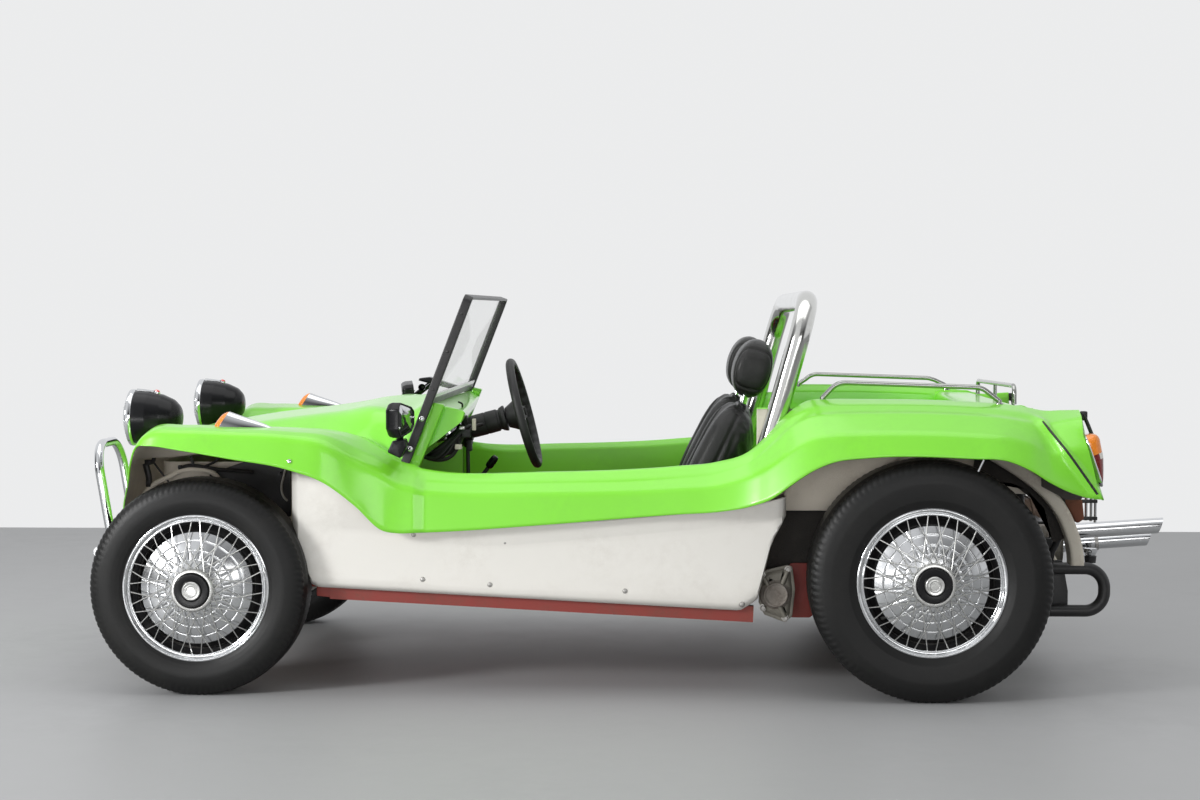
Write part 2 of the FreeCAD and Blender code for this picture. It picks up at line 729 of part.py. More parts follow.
REAR_WING = [
    # station, rim (y, z), shoulder (y, z), lip (y, z)
    (1560, (602, 690), (716, 632), (745, 545)),
    (1612, (590, 735), (738, 660), (770, 567)),
    (1665, (575, 790), (752, 700), (786, 607)),
    (1720, (563, 826), (764, 730), (796, 643)),
    (1780, (560, 832), (770, 744), (800, 672)),
    (1850, (560, 832), (772, 748), (802, 681)),
    (2150, (560, 826), (772, 746), (802, 681)),
    (2250, (562, 820), (768, 738), (798, 674)),
    (2320, (566, 812), (758, 716), (788, 644)),
    (2375, (572, 800), (742, 690), (772, 610)),
]


def rear_section(station, rim, shoulder, lip):
    """Inner wall of the rear tub, its rim, and the rounded top of the wing down to its lip."""
    crown = (rim[0] + 0.6 * (shoulder[0] - rim[0]), rim[1] + 0.42 * (shoulder[1] - rim[1]))
    inner = rim[0] - 16
    return along(station), [(inner - 6, TUB_FLOOR_Z - 40), (inner, rim[1] - 24), rim, crown, shoulder, lip]



def tail_pod():
    """Bulge that closes the rear wing and carries the tail lamp: open at its front and below."""
    outer = []
    inner = []
    for x, line in (
        (along(2375), [(572, 800), (693, 754), (742, 690), (772, 610), (640, 600)]),
        (along(2487), [(600, 797), (690, 775), (730, 700), (735, 560), (640, 556)]),
    ):
        outer.append(Part.makePolygon([Vector(x, y, z) for y, z in line + line[:1]]))
    solid = Part.makeLoft(outer, True, True)
    for x, line in (
        (along(2375) + 1, [(582, 788), (687, 746), (733, 688), (762, 618), (650, 610)]),
        (along(2487) + WALL, [(610, 786), (684, 766), (721, 698), (726, 568), (650, 566)]),
    ):
        inner.append(Part.makePolygon([Vector(x, y, z) for y, z in line + line[:1]]))
    return feature(solid.cut(Part.makeLoft(inner, True, True)))


wing = feature(band_loft([rear_section(*row) for row in REAR_WING], WALL))
pair(fuse([wing, tail_pod()]), "rear_wing")

BONNET = [
    # station, edge (y, z), middle (y, z), centre height
    (-244, (405, 640), (250, 650), 656),
    (-150, (416, 652), (270, 700), 712),
    (-37, (428, 666), (292, 730), 745),
    (100, (438, 688), (312, 756), 770),
    (265, (459, 711), (350, 778), 789),
    (369, (486, 720), (395, 790), 802),
    (450, (524, 714), (455, 800), 812),
    (560, (589, 655), (545, 782), 818),
    (615, (590, 650), (562, 806), 820),
]


def arched_section(station, edge, middle, centre):
    """A panel across the whole body, higher in the middle."""
    half = [edge, middle]
    line = [(-y, z) for y, z in half] + [(0, centre)] + half[::-1]
    return along(station), line


node(feature(band_loft([arched_section(*row) for row in BONNET], WALL)), "bonnet")

NOSE = [
    # height, edge (ahead, y), middle (ahead, y), centre ahead
    (662, (196, 668), (243, 420), 250),
    (600, (217, 618), (264, 380), 284),
    (500, (272, 470), (296, 280), 303),
    (420, (292, 385), (302, 220), 307),
]


def nose():
    """Front apron: it turns back at its sides and narrows towards the bottom."""
    wires = []
    for height, edge, middle, centre in NOSE:
        half = [(edge[1], edge[0]), (middle[1], middle[0])]
        line = [(-y, x) for y, x in half] + [(0, centre)] + half[::-1]
        ring = line + inner_line(line, WALL)[::-1]
        front = float(FRONT_AXLE)
        wires.append(Part.makePolygon([Vector(front + x, y, height) for y, x in ring + ring[:1]]))
    return feature(Part.makeLoft(wires, True, True))


node(nose(), "nose_panel")

# dashboard: a three-sided cowl under the windscreen, open towards the front
dash_width = 1104
dash_top = (along(648), 814.6)
dash_rear = (along(738), 799)
dash_foot = (along(620), 652)
dash = extruded("XZ_Plane", [dash_top, dash_rear, dash_foot], dash_width, midplane=True)
pocketed(dash, "XZ_Plane", [
    (dash_top[0] + 40, dash_top[1] - 12), (dash_top[0] + 2, dash_top[1] - 12),
    (dash_rear[0] + 22, dash_rear[1] - 11), (dash_foot[0] + 14, dash_foot[1] - 3),
    (dash_foot[0] + 40, dash_foot[1]),
], dash_width - 16)

# toe board: closes the cockpit in front of the driver's feet
toe_x = along(356)
toe_foot = FRAME_HEAD_TOP + S["seat_gap"]
toe_board = extruded("XZ_Plane", [
    (toe_x, toe_foot), (toe_x, 640), (toe_x - WALL, 640), (toe_x - WALL, toe_foot),
], 2 * 540, midplane=True)

# inner walls and floor of the front compartment, between the steered wheels
well_y, well_floor, well_top = 370, 430, 632
front_well = extruded("YZ_Plane", [
    (-well_y, well_top), (-well_y, well_floor), (well_y, well_floor), (well_y, well_top),
    (well_y - WALL, well_top), (well_y - WALL, well_floor + WALL),
    (-well_y + WALL, well_floor + WALL), (-well_y + WALL, well_top),
], 540)
node(fuse([toe_board, put(front_well, toe_x, 0, 0)]), "front_tub")

# rear tub: bulkhead behind the seats, luggage floor, rear wall and the deck over the engine
tub = [
    (along(1572), 330), (along(1608), TUB_FLOOR_Z), (along(2215), TUB_FLOOR_Z), (along(2215), 814),
    (along(2330), 808), (along(2352), 740),
]
tub_line = tub + inner_line(tub, -WALL)[::-1]
node(extruded("XZ_Plane", tub_line, 1060, midplane=True), "rear_tub")


def rear_arch_liner():
    """Curved band that closes the wheel arch behind the rear tyre."""
    inner = 402
    outer = 430
    centre = Vector(float(REAR_AXLE), 557.7, float(AXLE_REAR_Z))
    low = math.radians(178)
    high = math.radians(125)
    middle = (low + high) / 2

    def on(radius, angle):
        return centre + Vector(radius * math.cos(angle), 0, radius * math.sin(angle))

    ring = Part.Wire([
        Part.Arc(on(inner, low), on(inner, middle), on(inner, high)).toShape(),
        Part.LineSegment(on(inner, high), on(outer, high)).toShape(),
        Part.Arc(on(outer, high), on(outer, middle), on(outer, low)).toShape(),
        Part.LineSegment(on(outer, low), on(inner, low)).toShape(),
    ])
    return feature(Part.Face(ring).extrude(Vector(0, 50, 0)))


node(both_sides(rear_arch_liner()), "rear_arch_liners")

# ---------------------------------------------------------------- windscreen and mirrors

bar = S["screen_bar"]
pillar = S["screen_length"]
outer = S["screen_y"]
inner = outer - bar * 0.8
rail_low = 174
screen_at = (along(576), 0, 656)


def leaned(thing):
    return put(thing, *screen_at, (0, 1, 0), -S["screen_rake"])


node(leaned(fuse([
    box((-bar / 2, bar / 2), (inner, outer), (0, pillar)),
    box((-bar / 2, bar / 2), (-outer, -inner), (0, pillar)),
    box((-bar / 2, bar / 2), (-inner, inner), (pillar - bar * 0.8, pillar)),
    box((-bar / 2, bar / 2), (-inner, inner), (rail_low, rail_low + 24)),
])), "windscreen_frame")
glass = S["glass_wall"]
node(leaned(group([
    box((-glass / 2, glass / 2), (-inner, inner), (rail_low + 24, pillar - bar * 0.8)),
])), "windscreen_glass")

mirror_x = along(576)
left_mirror = fuse([
    box((mirror_x - 28, mirror_x + 32), (outer + 12, outer + 150), (725, 821)),
    box((mirror_x + 2, mirror_x + 42), (outer, outer + 40), (668, 726)),
])
right_mirror = fuse([
    box((mirror_x + 120, mirror_x + 158), (-outer - 130, -outer - 10), (772, 848)),
    box((mirror_x - 58, mirror_x + 130), (-outer - 20, -outer), (840, 852)),
])
node(group([left_mirror, right_mirror]), "mirrors")

# ---------------------------------------------------------------- lamps


def turned_forward(corners, x, y, z):
    """A body turned about the X direction; the corners are (distance forward, radius)."""
    body = doc.addObject("PartDesign::Body", "Body")
    outline = sketch(body, "XZ_Plane", corners)
    revolution = body.newObject("PartDesign::Revolution", "Revolution")
    revolution.Profile = outline
    revolution.ReferenceAxis = (outline, ["H_Axis"])
    revolution.Angle = 360
    return put(body, x, y, z)


lamp = S["headlamp_radius"]
lamp_bowl = turned_forward([
    (0, 0), (6, 22), (22, 42), (50, 62), (85, 74), (126, 78), (126, lamp), (150, lamp), (156, lamp - 6),
    (150, lamp - 10), (132, lamp - 14), (132, 0),
], ahead(100), S["headlamp_y"], S["headlamp_z"])
lamp_stalk = rod("z", 672.3, S["headlamp_z"] - 46, 13, x=ahead(140), y=S["headlamp_y"])
node(both_sides(fuse([lamp_bowl, lamp_stalk])), "headlamps")
lens = turned_forward([(0, 0), (0, lamp - 14), (18, lamp - 11), (32, lamp - 30), (40, 0)],
                      ahead(232), S["headlamp_y"], S["headlamp_z"])
node(both_sides(lens), "headlamp_lenses")

indicator = doc.addObject("Part::Cone", "Indicator")
indicator.Radius1 = 6
indicator.Radius2 = 20
indicator.Height = 150
put(indicator, ahead(-194), 645, 762, (0, 1, 0), 85)
node(both_sides(indicator), "front_indicators")

tail_lamp = box((along(2522), along(2487)), (632, 722), (597, 740))
node(both_sides(tail_lamp), "tail_lamps")

# ---------------------------------------------------------------- cockpit

column_x = along(893)
wheel_centre = (column_x, float(S["seat_y"]) + 30, 776)


def on_column(thing):
    """Turn a piece built along +Z on to the steering axis, which points up towards the driver."""
    return put(thing, *wheel_centre, (0, 1, 0), S["column_angle"] - 90)


column_tube = 19
node(on_column(fuse([
    rod("z", -150, -34, 35),
    rod("z", -180, -150, 30),
    rod("z", -340, -180, column_tube),
    rod("z", -34, -4, 9),
])), "steering_column")
node(cut(dash, on_column(group([rod("z", -345, -190, column_tube + S["seat_gap"])]))), "dashboard")

grip = doc.addObject("Part::Torus", "Grip")
bind(grip, "Radius1", S["steering_wheel_radius"])
bind(grip, "Radius2", S["steering_grip_radius"])
hub = cut(rod("z", -26, 8, 36), rod("z", -26, -2, 9 + S["running_fit"]))
spokes = []
for turn in (90, 180, 270):
    spoke = doc.addObject("Part::Box", "Spoke")
    spoke.Length = 130
    spoke.Width = 22
    spoke.Height = 4
    middle = Rotation(Vector(0, 0, 1), turn)
    spoke.Placement = Placement(middle.multVec(Vector(30, -11, -2)), middle)
    spokes.append(spoke)
node(on_column(fuse([grip, hub] + spokes)), "steering_wheel")

boot_foot = tunnel_top(648) + S["seat_gap"]
gear_lever = fuse([
    rod("z", boot_foot, 660, 7, x=along(680)),
    rod("z", 640, 688, 17, x=along(680)),
    rod("z", boot_foot, boot_foot + 24, 32, x=along(680)),
])
brake_foot = tunnel_top(760) + S["seat_gap"]
handbrake = fuse([
    box((along(806), along(760)), (-9, 9), (brake_foot, brake_foot + 30)),
    box((along(806), along(784)), (-7, 7), (brake_foot, 600)),
    rod("z", 600, 642, 13, x=along(795)),
])
node(group([gear_lever, handbrake]), "hand_levers")

pedals = []
for pedal_y in (250, 330, 410):
    pedals.append(fuse([
        box((along(402), along(390)), (pedal_y - 28, pedal_y + 28), (400, 455)),
        box((along(390), toe_x - WALL), (pedal_y - 6, pedal_y + 6), (420, 435)),
    ]))
node(group(pedals), "pedals")


def seat():
    """Bucket seat: cushion and leaning back rest as one padded shell."""
    wide = S["seat_width"]
    front = along(930)
    rear = along(1400)
    back_top = along(1560)
    outline = [
        (front, SEAT_BASE_Z), (front, 400), (front - 30, 425), (along(1330), 385), (along(1360), 430),
        (along(1484), 795), (along(1500), 815), (along(1552), 815), (back_top, 800), (rear - 30, 330),
        (rear, SEAT_BASE_Z),
    ]
    return put(extruded("XZ_Plane", outline, wide, midplane=True), 0, S["seat_y"], 0)


pair(seat(), "seat")

headrest = put(extruded("XZ_Plane", [
    (along(1512), 860), (along(1530), 985), (along(1560), 998), (along(1600), 985), (along(1608), 850),
    (along(1585), 835), (along(1530), 838),
], 250, midplane=True), 0, S["seat_y"], 0)
posts = [rod("z", 815.3, 858, 6, x=along(1535), y=S["seat_y"] + offset) for offset in (-60, 60)]
node(both_sides(fuse([headrest] + posts)), "headrests")

# ---------------------------------------------------------------- roll bar, rails and bumpers

hoop_y = float(S["hoop_y"])
hoop_top = float(S["hoop_top_z"])
foot_station = 1463
top_station = 1706
foot = floor_top(foot_station)
lean = (along(foot_station), along(top_station))
hoop = bent_tube([
    (lean[0], hoop_y, foot + 7), (lean[1], hoop_y, hoop_top), (lean[1], -hoop_y, hoop_top),
    (lean[0], -hoop_y, foot + 7),
], S["hoop_radius"], 120)
node(feature(hoop), "roll_bar")

rail_y = 566
side_rail = feature(bent_tube([
    (along(1757), rail_y, 837), (along(1799), rail_y, 882), (along(2205), rail_y, 868),
    (along(2253), rail_y, 826),
], S["rail_radius"], 45))
rear_rail = fuse([
    feature(bent_tube([
        (along(2300), 360, 810), (along(2300), 360, 858), (along(2300), -360, 858), (along(2300), -360, 810),
    ], S["rail_radius"], 25)),
    rod("z", 810, 858, 7, x=along(2300)),
])
node(group([side_rail, mirrored(side_rail), rear_rail]), "deck_rails")

# two chrome hoops stand on the front cross bar and lean forward to their tops
front_tip = float(FRONT_AXLE) + float(S["front_overhang"]) - float(S["bumper_radius"])
cross_x = front_tip - 30
cross_z = 372
hoop_foot = cross_z + float(S["bumper_radius"]) + float(S["seat_gap"])
bumper_top = 674
hoops = [
    feature(bent_tube([
        (cross_x, side * 190, hoop_foot), (front_tip, side * 190, bumper_top),
        (front_tip, side * 420, bumper_top), (cross_x, side * 420, hoop_foot),
    ], S["bumper_radius"], 45))
    for side in (1, -1)
]
node(group(hoops), "bumper_hoops")

cross_bar = rod("y", -455, 455, S["bumper_radius"], x=cross_x, z=cross_z)
brackets = [
    box((ahead(S["beam_x"] + S["beam_radius"]), cross_x), (y - 16, y + 16), (cross_z - 6, cross_z + 6))
    for y in (-90, 90)
]
eye_x, eye_z = front_tip - 15, 298
eye_half = S["tow_eye_wall"] / 2
eye_plate = fuse([
    box((cross_x, front_tip + 12), (-eye_half, eye_half), (eye_z, cross_z)),
    rod("y", -eye_half, eye_half, 30, x=eye_x, z=eye_z),
])
eye_bore = rod("y", -30, 30, S["tow_eye_radius"], x=eye_x, z=eye_z)
node(cut(fuse([cross_bar, eye_plate] + brackets), eye_bore), "front_bumper")

loop_x = along(2594) + float(S["loop_radius"])
loops = []
for side in (1, -1):
    loops.append(feature(bent_tube([
        (along(2425), side * 400, 351), (loop_x, side * 400, 351), (loop_x, side * 400, 212),
        (along(2425), side * 400, 212),
    ], S["loop_radius"], 62)))
stay = rod("y", -400, 400, S["loop_radius"] - 3, x=along(2470), z=212)
hangers = [box((along(2490), along(2430)), (y - 15, y + 15), (212, 235)) for y in (-90, 90)]
hanger_y = CYLINDER_Y + float(S["seat_gap"])
for side in (1, -1):
    hangers.append(box((along(2445), along(2427)), sorted((side * hanger_y, side * 392)), (340, 362)))
node(fuse(loops + [stay] + hangers), "rear_bumper")

tip_x = float(REAR_AXLE) - float(S["rear_overhang"])
upper_tip = feature(bent_tube([
    (along(2460), 280, 412), (along(2530), 280, 420), (tip_x, 282, 446),
], 27, 90))
lower_tip = feature(bent_tube([
    (along(2460), 200, 362), (along(2530), 200, 368), (tip_x + 16, 200, 396),
], 25, 90))
silencer = box((along(2483), behind(400) - S["seat_gap"]), (150, 335), (325, 455))
node(fuse([upper_tip, lower_tip, silencer]), "exhaust")

# ---------------------------------------------------------------- check and write

doc.recompute()
for thing in doc.Objects:
    if "Invalid" in thing.State or "Error" in thing.State:
        raise RuntimeError(f"{thing.Name} {thing.Label} did not compute: {thing.State}")
os.makedirs("parts", exist_ok=True)
for thing in NODES:
    shape = thing.Shape
    if shape.isNull() or not shape.isValid():
        raise RuntimeError(f"{thing.Label} has no valid shape")
for thing in NODES:
    thing.Shape.exportStep(f"parts/{thing.Label}.step")
    bounds = thing.Shape.BoundBox
    print(f"{thing.Label:24s} solids {len(thing.Shape.Solids):2d}  x {bounds.XMin:8.1f} {bounds.XMax:8.1f}"
          f"  y {bounds.YMin:7.1f} {bounds.YMax:7.1f}  z {bounds.ZMin:7.1f} {bounds.ZMax:7.1f}")
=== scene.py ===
"""Dune buggy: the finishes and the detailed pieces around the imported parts. Metres, +X forward, +Y left, +Z up."""

import math

import bmesh
import bpy
import numpy as np
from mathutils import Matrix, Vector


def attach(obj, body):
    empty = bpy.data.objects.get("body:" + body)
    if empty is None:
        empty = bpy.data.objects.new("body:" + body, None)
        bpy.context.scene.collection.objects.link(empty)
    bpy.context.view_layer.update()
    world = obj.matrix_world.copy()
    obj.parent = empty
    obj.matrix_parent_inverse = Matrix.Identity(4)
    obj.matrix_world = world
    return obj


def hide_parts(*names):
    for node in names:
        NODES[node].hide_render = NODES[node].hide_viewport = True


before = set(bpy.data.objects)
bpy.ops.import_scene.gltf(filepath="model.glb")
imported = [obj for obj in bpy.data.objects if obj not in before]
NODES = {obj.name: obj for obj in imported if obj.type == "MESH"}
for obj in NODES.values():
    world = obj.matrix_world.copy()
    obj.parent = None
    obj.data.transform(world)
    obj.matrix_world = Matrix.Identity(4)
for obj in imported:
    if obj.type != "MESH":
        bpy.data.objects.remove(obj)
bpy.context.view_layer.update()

FRONT_AXLE = 1.195
REAR_AXLE = -0.85
TURN = 2 * math.pi


# ---------------------------------------------------------------- shader node groups


def node_group(name, inputs, outputs):
    """An empty shader group with its named inputs (name, kind, default) and outputs (name, kind)."""
    tree = bpy.data.node_groups.new(name, "ShaderNodeTree")
    for title, kind, start in inputs:
        socket = tree.interface.new_socket(title, in_out="INPUT", socket_type="NodeSocket" + kind)
        socket.default_value = start
    for title, kind in outputs:
        tree.interface.new_socket(title, in_out="OUTPUT", socket_type="NodeSocket" + kind)
    return tree, tree.nodes.new("NodeGroupInput"), tree.nodes.new("NodeGroupOutput")


def shader_node(tree, kind, settings=None, **sockets):
    """A node of this kind; each socket is set to a value, or linked if an output socket is given."""
    made = tree.nodes.new("ShaderNode" + kind)
    for key, value in (settings or {}).items():
        setattr(made, key, value)
    for key, value in sockets.items():
        socket = made.inputs[int(key[1:])] if key[1:].isdigit() else made.inputs[key.replace("_", " ")]
        if isinstance(value, bpy.types.NodeSocket):
            tree.links.new(value, socket)
        else:
            socket.default_value = value
    return made


def maths(tree, operation, *values, **settings):
    """A Math node's result; each value is a number or an output socket."""
    sockets = {f"_{k}": value for k, value in enumerate(values)}
    return shader_node(tree, "Math", dict(operation=operation, **settings), **sockets).outputs[0]


def ramp(tree, value, low, high, *ends, **settings):
    """A Map Range node's result: low to high becomes 0 to 1, or the two ends given."""
    sockets = {f"_{k}": end for k, end in enumerate((low, high) + ends, 1)}
    return shader_node(tree, "MapRange", settings, Value=value, **sockets).outputs[0]


def colour(r, g, b):
    """Red, green and blue with a full alpha."""
    return (r, g, b, 1.0)


def weathering_group():
    """Clean finish with dirt on it: a noise patch mask and a mask that grows below a height, added up."""
    tree, given, out = node_group(
        "weathering",
        [("Clean", "Color", colour(0.8, 0.8, 0.8)), ("Dirt", "Color", colour(0.2, 0.18, 0.15)),
         ("Scale", "Float", 4.0), ("Patches", "Float", 0.2), ("Low Dirt", "Float", 0.3),
         ("Dirt Line", "Float", 0.45), ("Clean Roughness", "Float", 0.3), ("Dirt Roughness", "Float", 0.8),
         ("Shade Change", "Float", 0.06)],
        [("Color", "Color"), ("Roughness", "Float"), ("Mask", "Float")])
    given, place = given.outputs, shader_node(tree, "TexCoord").outputs["Object"]
    wide = shader_node(tree, "TexNoise", Vector=place, Scale=given["Scale"], Detail=6.0, Roughness=0.62)
    fine_scale = maths(tree, "MULTIPLY", given["Scale"], 11.0)
    fine = shader_node(tree, "TexNoise", Vector=place, Scale=fine_scale, Detail=4.0, Roughness=0.7)
    wide, fine = wide.outputs["Fac"], fine.outputs["Fac"]
    patch = ramp(tree, wide, 0.46, 0.72)
    broken = ramp(tree, fine, 0.35, 0.65)
    patch = maths(tree, "MULTIPLY", patch, broken)
    patch = maths(tree, "MULTIPLY", patch, given["Patches"])
    height = shader_node(tree, "SeparateXYZ", Vector=place)
    drop = maths(tree, "SUBTRACT", given["Dirt Line"], height.outputs["Z"])
    ragged = ramp(tree, wide, 0.3, 0.7, -0.06, 0.06)
    drop = maths(tree, "ADD", drop, ragged)
    low = ramp(tree, drop, 0.0, 0.22)
    low = maths(tree, "MULTIPLY", low, given["Low Dirt"])
    mask = maths(tree, "ADD", patch, low, use_clamp=True)
    span = maths(tree, "MULTIPLY_ADD", wide, given["Shade Change"], 1.0)
    tone = shader_node(tree, "HueSaturation", Color=given["Clean"], Value=span)
    mixed = shader_node(tree, "Mix", dict(data_type="RGBA"), _0=mask, _6=tone.outputs[0], _7=given["Dirt"])
    rough = shader_node(tree, "MapRange", Value=mask, _3=given["Clean Roughness"], _4=given["Dirt Roughness"])
    uneven = shader_node(tree, "MapRange", Value=fine, _3=-0.04, _4=0.04)
    rough = maths(tree, "ADD", rough.outputs[0], uneven.outputs[0], use_clamp=True)
    tree.links.new(mixed.outputs[2], out.inputs["Color"])
    tree.links.new(rough, out.inputs["Roughness"])
    tree.links.new(mask, out.inputs["Mask"])
    return tree


def grain_group():
    """Height of a fine surface: noise added to the distance field of small cells."""
    tree, given, out = node_group(
        "surface_grain",
        [("Noise Scale", "Float", 60.0), ("Noise Height", "Float", 1.0), ("Cell Scale", "Float", 200.0),
         ("Cell Height", "Float", 0.0)],
        [("Height", "Float")])
    given, place = given.outputs, shader_node(tree, "TexCoord").outputs["Object"]
    noise = shader_node(tree, "TexNoise", Vector=place, Scale=given["Noise Scale"], Detail=3.0)
    cells = shader_node(tree, "TexVoronoi", dict(feature="DISTANCE_TO_EDGE"), Vector=place, Scale=given["Cell Scale"])
    edge = ramp(tree, cells.outputs["Distance"], 0.0, 0.12)
    first = maths(tree, "MULTIPLY", noise.outputs["Fac"], given["Noise Height"])
    both = maths(tree, "MULTIPLY_ADD", edge, given["Cell Height"], first)
    tree.links.new(both, out.inputs["Height"])
    return tree


WEATHERING = weathering_group()
GRAIN = grain_group()


def finish(name, clean, dirt=(0.16, 0.14, 0.12), rough=0.35, dirt_rough=0.8, scale=5.0, patches=0.15, low_dirt=0.0,
        dirt_line=0.4, shade=0.06, metal=0.0, coat=0.0, coat_rough=0.06, grain=(60.0, 1.0, 200.0, 0.0), bump=0.05,
        bump_depth=0.0004, **sockets):
    """A Principled material whose colour and roughness come from the weathering group, with fine grain."""
    material = bpy.data.materials.new(name)
    material.use_nodes = True
    tree = material.node_tree
    shader = tree.nodes["Principled BSDF"]
    shader.inputs["Metallic"].default_value = metal
    shader.inputs["Coat Weight"].default_value = coat
    shader.inputs["Coat Roughness"].default_value = coat_rough
    for key, value in sockets.items():
        shader.inputs[key.replace("_", " ")].default_value = value
    worn = shader_node(tree, "Group", dict(node_tree=WEATHERING), Clean=colour(*clean), Dirt=colour(*dirt),
        Scale=scale, Patches=patches, Low_Dirt=low_dirt, Dirt_Line=dirt_line, Clean_Roughness=rough,
        Dirt_Roughness=dirt_rough, Shade_Change=shade)
    tree.links.new(worn.outputs["Color"], shader.inputs["Base Color"])
    tree.links.new(worn.outputs["Roughness"], shader.inputs["Roughness"])
    if bump:
        fine = shader_node(tree, "Group", dict(node_tree=GRAIN), Noise_Scale=grain[0], Noise_Height=grain[1],
            Cell_Scale=grain[2], Cell_Height=grain[3])
        raised = shader_node(tree, "Bump", Strength=bump, Distance=bump_depth, Height=fine.outputs["Height"])
        tree.links.new(raised.outputs["Normal"], shader.inputs["Normal"])
    return material


LIME = finish("lime_gelcoat", (0.225, 0.74, 0.035), dirt=(0.17, 0.5, 0.05), rough=0.32, dirt_rough=0.5, scale=3.0,
    patches=0.25, shade=0.1, coat=0.6, coat_rough=0.12, grain=(9.0, 1.0, 200.0, 0.0), bump=0.25, bump_depth=0.002)
CREAM = finish("cream_gelcoat", (0.76, 0.7, 0.6), dirt=(0.4, 0.33, 0.25), rough=0.6, scale=7.0, patches=0.35,
    low_dirt=0.2, dirt_line=0.62, shade=0.15, grain=(90.0, 1.0, 240.0, 0.6), bump=0.5, bump_depth=0.0015)
WHITE = finish("panel_white_paint", (0.82, 0.8, 0.75), dirt=(0.42, 0.37, 0.3), rough=0.42, scale=4.0, patches=0.2,
    low_dirt=0.2, dirt_line=0.34, shade=0.06, coat=0.15, coat_rough=0.3, grain=(14.0, 1.0, 200.0, 0.0), bump=0.3,
    bump_depth=0.003)
RUSTY_CREAM = finish("stained_cream", (0.66, 0.62, 0.53), dirt=(0.22, 0.1, 0.045), rough=0.6, scale=13.0,
    patches=0.42, shade=0.15, grain=(90.0, 1.0, 240.0, 0.6), bump=0.5, bump_depth=0.0015)
GRIMY = finish("grimy_pressed_steel", (0.16, 0.15, 0.125), dirt=(0.055, 0.045, 0.035), rough=0.45, scale=22.0,
    patches=0.6, shade=0.25, metal=0.35, grain=(160.0, 1.0, 380.0, 0.5), bump=0.5)
RED = finish("dusty_red_paint", (0.26, 0.032, 0.024), dirt=(0.13, 0.07, 0.05), rough=0.5, scale=9.0, patches=0.5,
    low_dirt=0.35, dirt_line=0.33, shade=0.2, grain=(80.0, 1.0, 200.0, 0.3), bump=0.4, bump_depth=0.001)
RUST = finish("rusty_brown", (0.17, 0.055, 0.028), dirt=(0.055, 0.03, 0.02), rough=0.7, scale=16.0, patches=0.6,
    shade=0.3, grain=(180.0, 1.0, 380.0, 0.6), bump=0.7, bump_depth=0.001)
SATIN_BLACK = finish("satin_black_paint", (0.016, 0.016, 0.017), dirt=(0.09, 0.08, 0.07), rough=0.38, scale=9.0,
    patches=0.25, shade=0.2, grain=(120.0, 1.0, 300.0, 0.2), bump=0.15)
GLOSS_BLACK = finish("gloss_black_enamel", (0.004, 0.004, 0.005), dirt=(0.03, 0.03, 0.03), rough=0.24, scale=7.0,
    patches=0.12, shade=0.1, bump=0.03, Specular_IOR_Level=0.28)
DISH = finish("dull_chrome_cover", (0.6, 0.61, 0.62), dirt=(0.42, 0.41, 0.39), rough=0.2, dirt_rough=0.4, scale=14.0,
    patches=0.35, shade=0.08, metal=1.0, grain=(40.0, 1.0, 200.0, 0.0), bump=0.08)
CHROME = finish("polished_chrome", (0.66, 0.67, 0.68), dirt=(0.42, 0.4, 0.37), rough=0.07, dirt_rough=0.35,
    scale=12.0, patches=0.25, shade=0.05, metal=1.0, grain=(30.0, 1.0, 200.0, 0.0), bump=0.05)
STAINLESS = finish("rubbed_stainless", (0.62, 0.62, 0.6), dirt=(0.36, 0.34, 0.3), rough=0.13, dirt_rough=0.4,
    scale=10.0, patches=0.3, shade=0.08, metal=1.0, grain=(45.0, 1.0, 260.0, 0.0), bump=0.08)
RAIL_STEEL = finish("dulled_rail_steel", (0.34, 0.35, 0.33), dirt=(0.2, 0.2, 0.18), rough=0.16, dirt_rough=0.35,
    scale=12.0, patches=0.3, metal=1.0, shade=0.3, bump=0.1)
DULL_STEEL = finish("dull_steel", (0.42, 0.41, 0.39), dirt=(0.2, 0.16, 0.13), rough=0.42, dirt_rough=0.75, scale=14.0,
    patches=0.6, shade=0.15, metal=0.85, grain=(150.0, 1.0, 300.0, 0.4), bump=0.3)
CAST = finish("cast_alloy", (0.33, 0.31, 0.28), dirt=(0.12, 0.09, 0.07), rough=0.55, scale=10.0, patches=0.7,
    low_dirt=0.4, dirt_line=0.5, shade=0.2, metal=0.55, grain=(220.0, 1.0, 420.0, 0.5), bump=0.6, bump_depth=0.0012)
OILED = finish("oily_brown_casing", (0.13, 0.085, 0.06), dirt=(0.05, 0.04, 0.03), rough=0.5, scale=12.0, patches=0.8,
    shade=0.3, metal=0.25, grain=(160.0, 1.0, 380.0, 0.6), bump=0.6, bump_depth=0.0012)
RUBBER = finish("tyre_rubber", (0.0045, 0.0045, 0.0044), dirt=(0.021, 0.02, 0.017), rough=0.42, scale=9.0,
    patches=0.35, low_dirt=0.0, shade=0.3, grain=(260.0, 1.0, 500.0, 0.4), bump=0.35, Specular_IOR_Level=0.35)
SOFT_BLACK = finish("black_grip", (0.012, 0.012, 0.012), dirt=(0.05, 0.05, 0.05), rough=0.48, scale=20.0, patches=0.2,
    shade=0.2, grain=(300.0, 1.0, 700.0, 0.8), bump=0.35)
LEATHER = finish("black_leather", (0.011, 0.011, 0.0105), dirt=(0.032, 0.031, 0.029), rough=0.34, dirt_rough=0.5,
    scale=7.0, patches=0.35, shade=0.3, grain=(90.0, 0.6, 420.0, 1.0), bump=0.5, bump_depth=0.0006,
    Specular_IOR_Level=0.38)
UNDERSEAL = finish("underseal", (0.03, 0.027, 0.024), dirt=(0.1, 0.085, 0.07), rough=0.8, scale=10.0, patches=0.6,
    shade=0.4, grain=(140.0, 1.0, 260.0, 0.8), bump=0.8, bump_depth=0.002)
